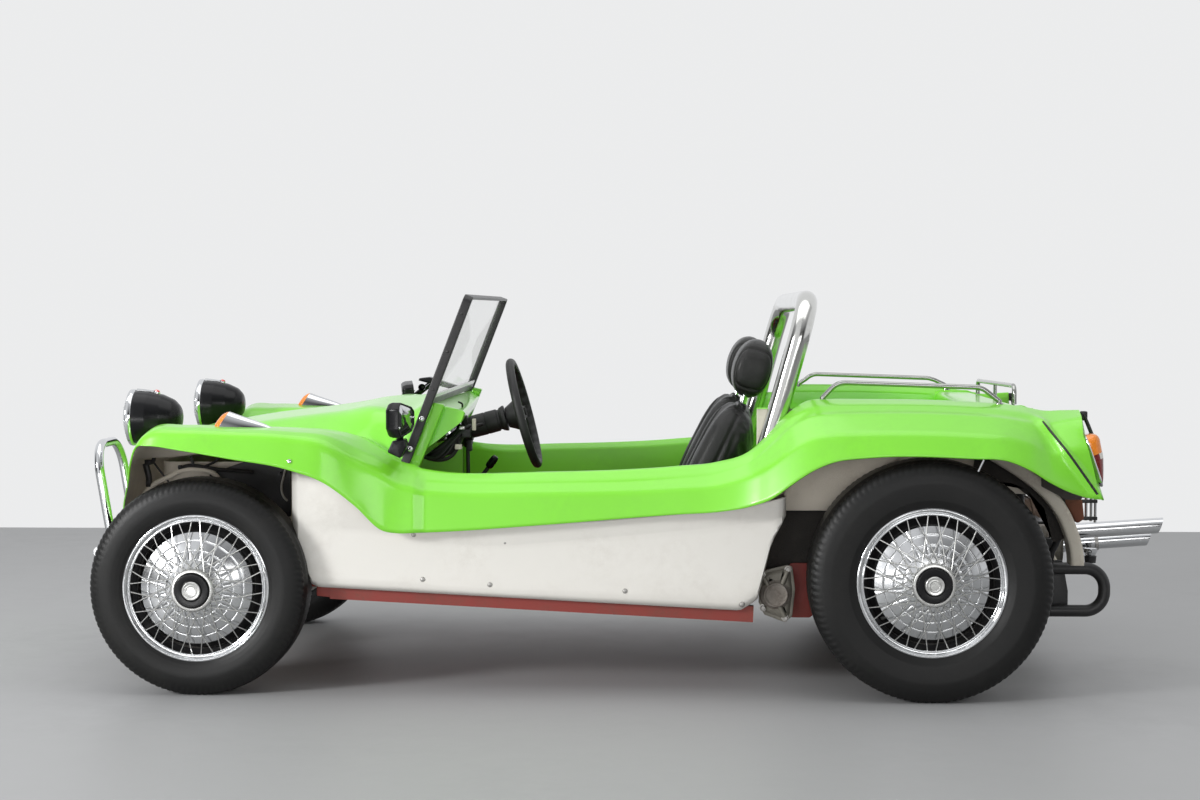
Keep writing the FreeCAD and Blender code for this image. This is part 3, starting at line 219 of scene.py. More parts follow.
SILVER = finish("silver_plastic", (0.62, 0.62, 0.6), dirt=(0.35, 0.34, 0.32), rough=0.28, scale=20.0, patches=0.25,
    shade=0.06, metal=0.9, bump=0.08)
AMBER = finish("amber_lens", (0.86, 0.25, 0.015), dirt=(0.55, 0.13, 0.01), rough=0.12, scale=40.0, patches=0.2,
    shade=0.15, coat=0.7, coat_rough=0.04, grain=(60.0, 0.3, 260.0, 1.0), bump=0.35, bump_depth=0.0008)
RED_LENS = finish("red_lens", (0.17, 0.008, 0.007), dirt=(0.09, 0.005, 0.004), rough=0.12, scale=40.0, patches=0.2,
    shade=0.2, coat=0.7, coat_rough=0.04, grain=(60.0, 0.3, 260.0, 1.0), bump=0.35, bump_depth=0.0008)
JEWEL = finish("red_jewel", (0.75, 0.03, 0.02), rough=0.1, shade=0.1, coat=1.0, bump=0.0)


def glass(name, tint, rough=0.02, cover=None):
    """Clear glass: full transmission with a plain tint, and a faint smear in its roughness.

    With a cover it's a thin pane instead: a film of the tint that hides this share of what lies behind it.
    """
    material = bpy.data.materials.new(name)
    material.use_nodes = True
    tree = material.node_tree
    shader = tree.nodes["Principled BSDF"]
    shader.inputs["Base Color"].default_value = colour(*tint)
    shader.inputs["Transmission Weight"].default_value = 1.0 if cover is None else 0.0
    shader.inputs["Alpha"].default_value = 1.0 if cover is None else cover
    shader.inputs["IOR"].default_value = 1.45
    place = shader_node(tree, "TexCoord").outputs["Object"]
    smear = shader_node(tree, "TexNoise", Vector=place, Scale=6.0, Detail=5.0)
    spread = ramp(tree, smear.outputs["Fac"], 0.35, 0.75, rough, rough + 0.05)
    tree.links.new(spread, shader.inputs["Roughness"])
    return material


SCREEN_GLASS = glass("screen_glass", (0.62, 0.66, 0.62), cover=0.16)
LAMP_GLASS = glass("lamp_glass", (0.95, 0.97, 0.98), 0.03)


# ---------------------------------------------------------------- surfaces from arrays


def hermite_rows(knots, rows, at):
    """Cubic through table rows; the slope at a knot is that of the parabola through it and its neighbours."""
    knots, rows, at = np.asarray(knots, float), np.asarray(rows, float), np.asarray(at, float)
    step = np.diff(knots).reshape((-1,) + (1,) * (rows.ndim - 1))
    secant = np.diff(rows, axis=0) / step
    slope = np.empty_like(rows)
    slope[1:-1] = (secant[:-1] * step[1:] + secant[1:] * step[:-1]) / (step[1:] + step[:-1])
    slope[0] = 2 * secant[0] - slope[1]
    slope[-1] = 2 * secant[-1] - slope[-2]
    k = np.clip(np.searchsorted(knots, at, "right") - 1, 0, len(knots) - 2)
    h = step[k]
    t = ((at - knots[k]).reshape(h.shape)) / h
    return ((2 * t**3 - 3 * t**2 + 1) * rows[k] + (t**3 - 2 * t**2 + t) * h * slope[k]
            + (3 * t**2 - 2 * t**3) * rows[k + 1] + (t**3 - t**2) * h * slope[k + 1])


def rounded(points, radii, run=4, arc=6):
    """Lines of corner points (..., K, D) with each inner corner turned into an arc. run is the number of steps
    on each straight leg, or a list with one number a leg.

    A corner's legs are cut at r / tan(half its angle), at most 0.45 of a leg. Between the cuts runs the
    rational quadratic whose middle weight is the sine of half the angle, which is a circle's arc. The
    straight runs between arcs are divided evenly.
    """
    points = np.asarray(points, float)
    back = points[..., :-2, :] - points[..., 1:-1, :]
    on = points[..., 2:, :] - points[..., 1:-1, :]
    back_len = np.linalg.norm(back, axis=-1, keepdims=True) + 1e-12
    on_len = np.linalg.norm(on, axis=-1, keepdims=True) + 1e-12
    cosine = np.clip(np.sum(back * on, -1, keepdims=True) / (back_len * on_len), -1, 1)
    half = np.arccos(cosine) / 2
    cut = np.asarray(radii, float).reshape(-1, 1) / np.maximum(np.tan(half), 1e-6)
    cut = np.minimum(cut, 0.45 * np.minimum(back_len, on_len))
    first = points[..., 1:-1, :] + back / back_len * cut
    last = points[..., 1:-1, :] + on / on_len * cut
    t = np.linspace(0, 1, arc + 1)[:, None]
    weight = np.sin(half)[..., None, :]
    mid = points[..., 1:-1, None, :]
    share = 2 * t * (1 - t) * weight
    arcs = ((1 - t) ** 2 * first[..., None, :] + share * mid + t**2 * last[..., None, :]) / (
        (1 - t) ** 2 + share + t**2)
    starts = np.concatenate([points[..., :1, :], last], -2)
    ends = np.concatenate([first, points[..., -1:, :]], -2)
    parts = []
    count = points.shape[-2]
    steps = list(run) if np.ndim(run) else [run] * (count - 1)
    for k in range(count - 1):
        s = np.linspace(0, 1, steps[k] + 1)[:, None]
        if k < count - 2:
            s = s[:-1]
        parts.append(starts[..., k, None, :] * (1 - s) + ends[..., k, None, :] * s)
        if k < count - 2:
            parts.append(arcs[..., k, :-1, :])
    return np.concatenate(parts, -2)


class Pieces:
    """Grids of points gathered into one mesh: each grid cell is a face, with the grid's finish."""

    def __init__(self):
        """Starts with no grids."""
        self.points, self.faces, self.picks, self.count = [], [], [], 0

    def add(self, grid, pick=0, around=True, flip=False, both=False):
        """A grid (rows, columns, 3). around joins the last column to the first; both joins the rows too."""
        grid = np.asarray(grid, float)
        rows, columns = grid.shape[:2]
        number = np.arange(rows * columns).reshape(rows, columns) + self.count
        if around or both:
            number = np.concatenate([number, number[:, :1]], 1)
        if both:
            number = np.concatenate([number, number[:1]], 0)
        quads = np.stack([number[:-1, :-1], number[1:, :-1], number[1:, 1:], number[:-1, 1:]], -1).reshape(-1, 4)
        if flip:
            quads = quads[:, ::-1]
        self.points.append(grid.reshape(-1, 3))
        self.faces.append(quads)
        self.picks.append(np.full(len(quads), pick))
        self.count += rows * columns
        return self

    def tube(self, path, radius, sides, pick=0):
        """A round bar along a path."""
        return self.add(swept(path, radius, sides), pick)

    def cable(self, points, radius, sides, count, pick=0):
        """A round bar along the cubic through the points, drawn at this many places."""
        last = len(points) - 1
        path = hermite_rows(np.arange(last + 1.0), np.asarray(points, float), np.linspace(0, last, count))
        return self.tube(path, radius, sides, pick)

    def turned(self, profile, centre, axis, turns, pick=0, soft=None, run=1, arc=3):
        """A profile (along the axis, radius) turned about it, its inner corners rounded by soft."""
        if soft is not None:
            profile = rounded(profile, [soft] * (len(profile) - 2), run=run, arc=arc)
        return self.add(revolved(profile, centre, axis, turns), pick)

    def plate(self, outline, corner, axes, depth, edge=0.0, arc=4, pick=0):
        """A closed outline as a plate of this depth, its two edges rounded."""
        return self.add(slab(outline, corner, axes, depth, edge, arc), pick)

    def box(self, size, centre, bevel=0.0, pick=0):
        """A box round its centre, bevelled at every edge."""
        sx, sy, sz = (s / 2 for s in size)
        cx, cy, cz = centre
        outline = round_outline(rectangle(-sx, -sy, sx, sy), bevel, arc=2, run=1)
        return self.plate(outline, (cx, cy, cz - sz), PLAN_VIEW, 2 * sz, bevel, 2, pick)

    def object(self, name, slot, finishes, replaces=(), body="chassis", merge=1e-5, outward=True, sharp=32, shell=0.0,
            inner=0):
        """The finished object. outward turns closed shapes' faces out; shell gives a sheet this thickness
        on its inner side, with the finish numbered inner on that side."""
        mesh = bpy.data.meshes.new(name)
        points, faces = np.concatenate(self.points), np.concatenate(self.faces)
        mesh.from_pydata(points.tolist(), [], faces.tolist())
        mesh.polygons.foreach_set("material_index", np.concatenate(self.picks).astype(np.int32))
        for item in finishes:
            mesh.materials.append(item)
        work = bmesh.new()
        work.from_mesh(mesh)
        if merge:
            bmesh.ops.remove_doubles(work, verts=work.verts, dist=merge)
            bmesh.ops.dissolve_degenerate(work, dist=merge / 10, edges=work.edges)
        if outward:
            bmesh.ops.recalc_face_normals(work, faces=work.faces)
        work.to_mesh(mesh)
        work.free()
        mesh.polygons.foreach_set("use_smooth", np.ones(len(mesh.polygons), bool))
        mesh.set_sharp_from_angle(angle=math.radians(sharp))
        thing = bpy.data.objects.new(name, mesh)
        bpy.context.scene.collection.objects.link(thing)
        if shell:
            wall = thing.modifiers.new("wall", "SOLIDIFY")
            wall.thickness, wall.offset, wall.use_even_offset = shell, -1.0, True
            wall.use_quality_normals = True
            wall.material_offset, wall.material_offset_rim = inner, 0
        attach(thing, body)
        if replaces:
            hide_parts(*replaces)
        return thing


PLAN_VIEW = ((1, 0, 0), (0, 1, 0), (0, 0, 1))
SIDES = (1, -1)
SHEET = 0.004  # thickness of the thin panels
SIDE_NAMES = {1: "left", -1: "right"}


def side_view(side):
    """Axes of an outline drawn in side view (x, z), with its depth running outwards on this side."""
    return (1, 0, 0), (0, 0, 1), (0, side, 0)


def mirrored(grid):
    """The grid on the other side of the buggy: y changes sign, and columns run the other way round."""
    flipped = np.array(grid, float)[:, ::-1].copy()
    flipped[..., 1] *= -1
    return flipped


def swept(path, radius, sides=16, closed=False, caps=True):
    """Round section along a path: circle points in the plane square to the local direction.

    The plane's two axes come from carrying the first one along the path, each time made square again to
    the new direction. The end rings close to their centres.
    """
    path = np.asarray(path, float)
    ahead = np.roll(path, -1, 0) - np.roll(path, 1, 0)
    if not closed:
        ahead[0], ahead[-1] = path[1] - path[0], path[-1] - path[-2]
    ahead /= np.linalg.norm(ahead, axis=1, keepdims=True)
    side = np.cross(ahead[0], (0.31, 0.57, 0.76))
    sides_of = []
    for direction in ahead:
        side = side - direction * np.dot(side, direction)
        side = side / np.linalg.norm(side)
        sides_of.append(side)
    side = np.array(sides_of)
    up = np.cross(ahead, side)
    angle = np.linspace(0, TURN, sides, endpoint=False)
    radius = np.broadcast_to(np.asarray(radius, float), (len(path),))[:, None, None]
    ring = side[:, None] * np.cos(angle)[None, :, None] + up[:, None] * np.sin(angle)[None, :, None]
    grid = path[:, None] + ring * radius
    if caps and not closed:
        first = np.broadcast_to(path[:1, None], (1, sides, 3))
        last = np.broadcast_to(path[-1:, None], (1, sides, 3))
        grid = np.concatenate([first, grid, last])
    return grid


def frame_of(axis):
    """Three square directions, the first along the axis."""
    first = np.asarray(axis, float) / np.linalg.norm(axis)
    helper = np.array((0.0, 0.0, 1.0)) if abs(first[2]) < 0.9 else np.array((1.0, 0.0, 0.0))
    second = np.cross(helper, first)
    second /= np.linalg.norm(second)
    return np.array([first, second, np.cross(first, second)])


def revolved(profile, centre, axis, turns):
    """Profile points (along the axis, radius) turned about the axis through the centre."""
    profile = np.asarray(profile, float)
    along, across, up = frame_of(axis)
    angle = np.linspace(0, TURN, turns, endpoint=False)
    spin = across * np.cos(angle)[:, None] + up * np.sin(angle)[:, None]
    return (np.asarray(centre, float) + profile[:, None, :1] * along + profile[:, None, 1:] * spin[None])


def ringed(outline, corner, axes, rings):
    """A flat closed outline (u, v) carried through rings of (inset, rise) and closed at both ends.

    A ring is the outline moved inwards along its normals by the inset, and along the third axis by the
    rise. Before the first ring and after the last one all points meet at the outline's middle.
    """
    outline = np.asarray(outline, float)
    middle = outline.mean(0)
    nxt, prev = np.roll(outline, -1, 0), np.roll(outline, 1, 0)
    way = nxt - prev
    normal = np.stack([way[:, 1], -way[:, 0]], 1)
    normal /= np.linalg.norm(normal, axis=1, keepdims=True) + 1e-12
    normal *= np.sign(np.sum(outline[:, 0] * nxt[:, 1] - nxt[:, 0] * outline[:, 1]))
    rings = np.asarray(rings, float)
    flat = outline[None] - normal[None] * rings[:, :1, None]
    end = np.broadcast_to(middle, (1,) + outline.shape)
    flat = np.concatenate([end, flat, end])
    rise = np.concatenate([rings[:1, 1], rings[:, 1], rings[-1:, 1]])
    u, v, w = (np.asarray(a, float) for a in axes)
    return np.asarray(corner, float) + flat[..., :1] * u + flat[..., 1:] * v + rise[:, None, None] * w


def slab(outline, corner, axes, depth, edge=0.0, arc=4):
    """A plate of this depth whose two edges are quarter rounds of radius edge."""
    t = np.linspace(0, math.pi / 2, arc + 1)
    inset = np.concatenate([edge * (1 - np.sin(t)), edge * (1 - np.cos(t))])
    rise = np.concatenate([edge * (1 - np.cos(t)), depth - edge * (1 - np.sin(t))])
    return ringed(outline, corner, axes, np.stack([inset, rise], 1))


def round_outline(corners, radius, arc=6, run=2):
    """Closed outline through corner points with every corner rounded; the last point isn't repeated."""
    corners = np.asarray(corners, float)
    start = (corners[0] + corners[-1]) / 2
    line = np.concatenate([[start], corners, [start]])
    return rounded(line, np.full(len(corners), radius), run=run, arc=arc)[:-1]


def rectangle(left, low, right, high):
    """A rectangle's four corner points (u, v)."""
    return [(left, low), (right, low), (right, high), (left, high)]


def bolt(place, axis, radius=0.007, height=0.005):
    """Domed bolt head: a profile turned about its axis."""
    profile = [(-0.001, radius), (height * 0.45, radius), (height * 0.8, radius * 0.82), (height, radius * 0.45),
        (height * 1.02, 0.0)]
    return revolved(profile, place, axis, turns=12)


def dress(finishes):
    """Gives each named CAD node its finish on all of its material slots."""
    for material, names in finishes:
        for name in names:
            slots = NODES[name].material_slots
            if not slots:
                NODES[name].data.materials.append(material)
            for slot in slots:
                slot.link = "OBJECT"
                slot.material = material


# ---------------------------------------------------------------- body moulding

MM = 0.001
SHARES = np.array([0.0, 0.36, 0.58, 0.62, 0.76, 0.88, 0.93, 0.97, 1.0])

# upright rows of the nose: height, then (ahead of the front axle, half width) of the edge and the middle, and
# how far ahead the centre is
NOSE_ROWS = [
    (420, (292, 385), (302, 220), 307),
    (500, (272, 470), (296, 280), 303),
    (600, (217, 618), (264, 380), 284),
    (645, (200, 664), (248, 418), 264),
]

# sections across the front: how far ahead, height at the centre, then (half width, height) of the bonnet's
# middle, its edge, the valley, the wing's inner shoulder, its crest, its crown, its shoulder and its lip
TOP_ROWS = [
    (130, 718, (275, 705), (418, 655), (427, 656), (530, 738), (650, 752), (688, 748), (722, 738), (735, 703)),
    (37, 738, (292, 724), (428, 666), (434, 668), (535, 748), (655, 758), (696, 753), (732, 742), (745, 691)),
    (-100, 762, (312, 749), (438, 688), (444, 690), (540, 748), (655, 754), (696, 749), (732, 738), (746, 668)),
    (-265, 782, (350, 772), (459, 711), (466, 713), (545, 745), (650, 746), (692, 741), (728, 728), (744, 638)),
    (-369, 797, (395, 786), (486, 720), (493, 722), (556, 738), (636, 736), (684, 728), (722, 708), (738, 598)),
    (-450, 812, (455, 800), (524, 714), (532, 714), (575, 718), (612, 706), (660, 690), (700, 660), (722, 535)),
    (-521, 815, (505, 792), (562, 678), (572, 678), (592, 682), (614, 675), (656, 652), (692, 620), (706, 466)),
    (-560, 818, (545, 782), (589, 655), (596, 656), (604, 657), (615, 654), (654, 627), (689, 596), (703, 458)),
    (-615, 820, (562, 806), (590, 650), (596, 644), (604, 642), (615, 641), (652, 612), (688, 581), (702, 459)),
    (-683, 821, (575, 812), (592, 640), (598, 634), (606, 631), (616, 630), (654, 607), (688, 571), (702, 462)),
]
# the row between them, where the nose turns over into the bonnet: (ahead, half width, height)
TURNOVER = [(246, 0, 660), (243, 250, 656), (236, 405, 648), (230, 425, 650), (212, 528, 664), (194, 640, 676),
    (183, 668, 685), (176, 691, 696), (178, 704, 688)]
TOP_KNOTS = [0, 80, 180, 225, 262, 345, 440, 577, 742, 846, 927, 998, 1037, 1092, 1160]
TOP_RADII = [120, 60, 30, 60, 90, 60, 45]

# sections along the side and rear: distance behind the front axle, then (half width, height) of the foot of
# the inner wall, its top, the rim, the crown, the shoulder and the lip
SIDE_ROWS = [
    (560, (592, 290), (604, 630), (615, 654), (654, 627), (689, 596), (703, 458)),
    (615, (592, 290), (604, 618), (615, 641), (652, 612), (688, 581), (702, 459)),
    (683, (590, 290), (600, 606), (616, 630), (654, 607), (688, 571), (702, 462)),
    (960, (588, 278), (600, 606), (616, 630), (654, 607), (688, 571), (702, 482)),
    (1351, (586, 256), (598, 624), (614, 648), (654, 622), (690, 585), (705, 515)),
    (1459, (586, 256), (594, 635), (610, 659), (656, 634), (696, 596), (716, 524)),
    (1553, (576, 330), (586, 666), (602, 690), (662, 668), (716, 632), (745, 545)),
    (1603, (545, 520), (574, 711), (590, 735), (672, 710), (738, 660), (770, 567)),
    (1656, (538, 560), (559, 766), (575, 790), (672, 760), (752, 700), (786, 607)),
    (1710, (538, 560), (547, 802), (563, 826), (680, 790), (764, 730), (796, 643)),
    (1780, (538, 560), (544, 808), (560, 832), (686, 800), (770, 744), (800, 672)),
    (1850, (538, 560), (544, 808), (560, 832), (688, 802), (772, 748), (802, 681)),
    (2150, (538, 560), (544, 802), (560, 826), (688, 798), (772, 746), (802, 681)),
    (2250, (538, 560), (546, 796), (562, 820), (686, 790), (768, 738), (798, 674)),
    (2320, (540, 560), (550, 788), (566, 812), (682, 778), (758, 716), (788, 644)),
    (2375, (548, 558), (556, 778), (572, 802), (676, 767), (742, 690), (772, 610)),
    (2430, (580, 556), (576, 782), (584, 803), (680, 773), (736, 696), (754, 580)),
    (2487, (640, 556), (596, 786), (600, 804), (686, 782), (730, 700), (735, 560)),
]
SIDE_RADII = [22, 14, 60, 45]
ARC = 5
OUTER_RUN = [8, 9, 9]  # steps from the rim out to the lip, the same in both tables
OUTER = sum(OUTER_RUN) + 2 * ARC + 1


def nose_and_bonnet():
    """Left half of the nose, bonnet and front wing: control rows, a cubic through them, then round corners."""
    rows = []
    for height, edge, middle, centre in NOSE_ROWS:
        half = SHARES * edge[1]
        # ahead is the quadratic in the half width through the centre, the middle and the edge
        fit = np.polyfit([0, middle[1], edge[1]], [centre, middle[0], edge[0]], 2)
        rows.append(np.stack([np.polyval(fit, half), half, np.full(9, height)], 1))
    rows.append(np.array(TURNOVER, float))
    for ahead, centre, *pairs in TOP_ROWS:
        rows.append(np.array([(ahead, 0, centre)] + [(ahead, y, z) for y, z in pairs], float))
    at = np.concatenate([np.linspace(0, 1037, 92), np.linspace(1049, 1092, 4)])
    lines = hermite_rows(TOP_KNOTS, rows, at)
    grid = rounded(lines, TOP_RADII, run=[5, 4, 2, 4, 4] + OUTER_RUN, arc=ARC)
    grid[..., 0] = FRONT_AXLE + grid[..., 0] * MM
    grid[..., 1:] *= MM
    return grid


POD_FRONT = (-1.164, 0.771)
POD_BACK = (-1.305, 0.576)


def side_and_rear():
    """Left sill, door side and rear wing, with the raised tail pod behind its V groove.

    The pod's offset along the surface normal is the sum of a 7 mm deep bell-shaped groove on the slanting
    line and a smooth step up of 8 mm behind it.
    """
    knots = [row[0] for row in SIDE_ROWS]
    rows = np.array([[(station, y, z) for y, z in pairs] for station, *pairs in SIDE_ROWS], float)
    at = np.concatenate([np.arange(615, 2335, 15.0), np.arange(2335, 2485, 3.0), [2487.0]])
    lines = hermite_rows(knots, rows, at)
    grid = rounded(lines, SIDE_RADII, run=[5, 2] + OUTER_RUN, arc=ARC)
    grid[..., 0] = FRONT_AXLE - grid[..., 0] * MM
    grid[..., 1:] *= MM
    # the rear end is slanted: its top lies further forward and its lip further back
    ramp = np.clip((FRONT_AXLE - grid[..., 0] - 2.36) / 0.127, 0, 1) ** 1.5
    grid[..., 0] += ramp * np.interp(grid[..., 2], [0.54, 0.58, 0.64, 0.7, 0.74, 0.78, 0.806],
        [-0.038, -0.014, -0.002, 0.014, 0.025, 0.023, 0.016])
    along = np.gradient(grid, axis=0)
    down = np.gradient(grid, axis=1)
    normal = np.cross(along, down)
    normal /= np.linalg.norm(normal, axis=-1, keepdims=True) + 1e-12
    slope = (POD_BACK[1] - POD_FRONT[1]) / (POD_BACK[0] - POD_FRONT[0])
    way = (slope * (grid[..., 0] - POD_FRONT[0]) - (grid[..., 2] - POD_FRONT[1])) / math.hypot(slope, 1)
    behind = np.sign(slope) * way
    groove = -0.007 * np.exp(-((behind / 0.0065) ** 2))
    raised = 0.008 / (1 + np.exp(-(behind - 0.012) / 0.003))
    outer = np.clip((grid[..., 1] - 0.63) / 0.03, 0, 1)
    return grid + normal * ((groove + raised) * outer)[..., None]


def tail_cap(rim):
    """Closes the wing's rear end: the last section shrinks to a middle point and bulges back by 12 mm."""
    share = np.linspace(0, 1, 9)[:, None, None]
    middle = np.array([rim[:, 0].mean(), 0.668, 0.672])
    grid = rim[None] * (1 - share) + middle * share
    grid[..., 0] -= 0.012 * np.sin(share[..., 0] * math.pi / 2)
    return grid


def body_moulding(front, rear):
    """The whole green moulding: the left skins and their mirror copies, joined along the middle."""
    body = Pieces()
    for grid in (front, rear, tail_cap(rear[-1])):
        body.add(grid, around=False, flip=True)
        body.add(mirrored(grid), around=False, flip=True)
    return body.object("body_moulding", "body_green", [LIME, CREAM],
        replaces=("bonnet", "front_wing_left", "front_wing_right", "nose_panel", "body_side_left", "body_side_right",
        "rear_wing_left", "rear_wing_right"), merge=3e-4, outward=False, sharp=40, shell=0.005, inner=1)


front_skin, rear_skin = nose_and_bonnet(), side_and_rear()
rear_skin[0, -OUTER:] = front_skin[-1, -OUTER:]
SKIN = rear_skin[:, -OUTER:].reshape(-1, 3)
body_moulding(front_skin, rear_skin)


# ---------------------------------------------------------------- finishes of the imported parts

dress([
    (RED, ["floorpan", "rear_frame"]),
    (SATIN_BLACK, ["front_axle_beam", "front_suspension_arms", "dampers", "steering_box", "rear_axle_tubes",
                   "rear_bumper", "pedals", "windscreen_frame", "headlamps", "mirrors", "steering_column",
                   "steering_wheel", "hand_levers"]),
    (WHITE, ["side_panel_left", "side_panel_right"]),
    (CREAM, ["rear_arch_liners", "front_tub"]),
    (DULL_STEEL, ["front_knuckle_left", "front_knuckle_right", "pitman_arm", "tie_rod_left", "tie_rod_right",
                  "rear_spring_plates"]),
    (CAST, ["gearbox"]),
    (OILED, ["engine"]),
    (LIME, ["rear_tub", "dashboard"]),
    (STAINLESS, ["roll_bar"]),
    (CHROME, ["front_bumper", "bumper_hoops", "deck_rails", "exhaust", "front_indicators",
              "front_left_wheel", "front_right_wheel", "rear_left_wheel", "rear_right_wheel"]),
    (RED_LENS, ["tail_lamps"]),
    (LAMP_GLASS, ["headlamp_lenses"]),
    (SCREEN_GLASS, ["windscreen_glass"]),
    (RUBBER, ["front_left_tyre", "front_right_tyre", "rear_left_tyre", "rear_right_tyre"]),
    (LEATHER, ["seat_left", "seat_right", "headrests"]),
])


# ---------------------------------------------------------------- road wheels and tyres

# name, axle x, middle plane y, axle height, tyre radius, tyre width, rim width
WHEEL_ROWS = [
    ("front_left", FRONT_AXLE, 0.645, 0.303, 0.307, 0.18, 0.16),
    ("front_right", FRONT_AXLE, -0.645, 0.303, 0.307, 0.18, 0.16),
    ("rear_left", REAR_AXLE, 0.678, 0.333, 0.337, 0.214, 0.188),
    ("rear_right", REAR_AXLE, -0.678, 0.333, 0.337, 0.214, 0.188),
]
HUB_REACH = 0.058  # how far the hub's cap stands out past the rim's edge
DISH_RADIUS = 0.157
DISH_LINES = 20  # pressed lines on the cover, one for each pair of spokes
SPOKE_PAIRS = 20
WIRE_RADIUS = 0.0016
GROOVE_DEPTH, LUG_DEPTH, WALL_RING = 0.0065, 0.0032, 0.0008


def tyre_profile(radius, width, rim_width):
    """Half section from the outer bead over the tread to the inner bead: (along the axle, radius), rounded."""
    half, bead = width / 2, rim_width / 2 - 0.004
    corners = [
        (bead - 0.012, 0.196), (bead, 0.203), (bead + 0.004, 0.2115), (bead + 0.0065, 0.216), (half - 0.004, 0.228),
        (half, radius - 0.06), (half - 0.004, radius - 0.036), (half - 0.012, radius - 0.016),
        (half - 0.024, radius - 0.0045), (half * 0.45, radius - 0.0005), (0.0, radius),
    ]
    whole = corners + [(-a, r) for a, r in corners[-2::-1]]
    radii = [0.004, 0.003, 0.004, 0.012, 0.045, 0.05, 0.03, 0.014, 0.2, 0.4]
    return rounded(whole, radii + radii[-2::-1], run=1, arc=2)


def tyre(name, body, centre, radius, width, rim_width, side):
    """The profile turned round the axle. Tread and shoulder blocks are cut by lowering the radius.

    Four straight grooves run round the tread. Across it, a groove opens at every lug angle, shifted along
    a zigzag and shallower towards the middle; on the shoulder short sipes reach down the wall. Raised rings
    mark the wall at two radii.
    """
    x, y, z = centre
    profile = tyre_profile(radius, width, rim_width)
    lugs, across = 108, 5
    count = lugs * across
    angle = np.arange(count) / count * TURN
    a, r = profile[:, :1], profile[:, 1:]
    half = width / 2
    top = np.clip((r - (radius - 0.03)) / 0.012, 0, 1)
    straight = sum(np.exp(-(((a - place * half) / 0.0034) ** 2)) for place in (-0.56, -0.19, 0.19, 0.56))
    lean = np.abs(a) / half * 3.2
    phase = (angle[None] * lugs / TURN + lean) % 1.0
    slot = np.exp(-(((phase - 0.5) / 0.16) ** 2))
    share = np.clip((np.abs(a) / half - 0.22) / 0.4, 0, 1)
    depth = GROOVE_DEPTH * np.clip(straight * top, 0, 1) + LUG_DEPTH * slot * share * top * (1
        - np.clip(straight, 0, 1))
    rings = WALL_RING * (np.exp(-(((r - (radius - 0.047)) / 0.0012) ** 2)) + np.exp(-(((r - 0.222) / 0.0012) ** 2)))
    spread = np.sign(a) * rings
    grid_a = np.broadcast_to(a + spread, (len(profile), count))
    grid_r = r - depth
    grid = np.empty((len(profile), count, 3))
    grid[..., 0] = x + grid_r * np.cos(angle)
    grid[..., 1] = y + grid_a * side
    grid[..., 2] = z + grid_r * np.sin(angle)
    pieces = Pieces().add(grid, flip=side > 0)
    pieces.object(name + "_tyre_tread", "tyre", [RUBBER], replaces=(name + "_tyre",), outward=False, sharp=50,
        body=body)


def chrome_rim(pieces, centre, half, side):
    """Rolled outer ring, the barrel through to the back flange, and the ring's inner lip."""
    barrel = [
        (half - 0.012, 0.2055), (half - 0.003, 0.208), (half, 0.206), (half + 0.001, 0.202), (half - 0.002, 0.1975),
        (half - 0.006, 0.1945), (half - 0.0065, 0.1915), (half - 0.0045, 0.1895), (half - 0.006, 0.1868),
        (half - 0.012, 0.185), (half - 0.0125, 0.187),
    ]
    gap = [(half - 0.0125, 0.187), (half - 0.03, 0.188), (half - 0.045, 0.176)]
    back = [
        (half - 0.045, 0.176), (-half + 0.05, 0.176), (-half + 0.03, 0.186), (-half + 0.01, 0.19),
        (-half, 0.204), (-half + 0.001, 0.208), (-half + 0.01, 0.205), (-half + 0.02, 0.196),
        (half - 0.02, 0.196), (half - 0.012, 0.2055),
    ]
    # the turn from the lip into the barrel is satin black, so the ring between rim and cover shows dark
    for profile, pick in ((barrel, 0), (gap, 2), (back, 1)):
        line = rounded(profile, [0.002] * (len(profile) - 2), run=1, arc=3)
        grid = revolved(line, centre, (0, side, 0), turns=96)
        pieces.add(grid, pick)


def dish(pieces, centre, half, side):
    """Domed cover behind the spokes, pressed with rings and radial lines, over a satin black disc that shows in the
    ring between the cover and the rim.

    Height falls with the square of the radius; shallow channels run at two radii and along 20 radii.
    """
    x, y, z = centre
    r = np.concatenate([np.linspace(0.03, DISH_RADIUS, 56), [0.158, DISH_RADIUS]])
    count = DISH_LINES * 14
    angle = np.arange(count) / count * TURN
    rise = half - 0.014 + 0.042 * (1 - (r / DISH_RADIUS) ** 2)
    rise[-2:] = half - 0.016, half - 0.05
    ring = sum(np.exp(-(((r - place) / 0.0014) ** 2)) for place in (0.08, 0.106, 0.134))
    phase = (angle * DISH_LINES / TURN) % 1.0
    line = np.exp(-(((phase - 0.5) * (TURN / DISH_LINES) * r[:, None] / 0.0018) ** 2)) * (r[:, None] > 0.08)
    height = rise[:, None] - 0.0016 * np.clip(ring[:, None] + line, 0, 1)
    grid = np.stack([x + r[:, None] * np.cos(angle), y + height * side, z + r[:, None] * np.sin(angle)], -1)
    pieces.add(grid, 6)
    # a satin black disc behind the cover; it shows dark in the ring between the cover and the rim
    plate = [(half - 0.056, 0.0), (half - 0.056, 0.158), (half - 0.075, 0.182), (half - 0.085, 0.182),
        (half - 0.085, 0.0)]
    pieces.add(revolved(rounded(plate, [0.004, 0.01, 0.004], run=4, arc=4), centre, (0, side, 0), turns=72), 2)


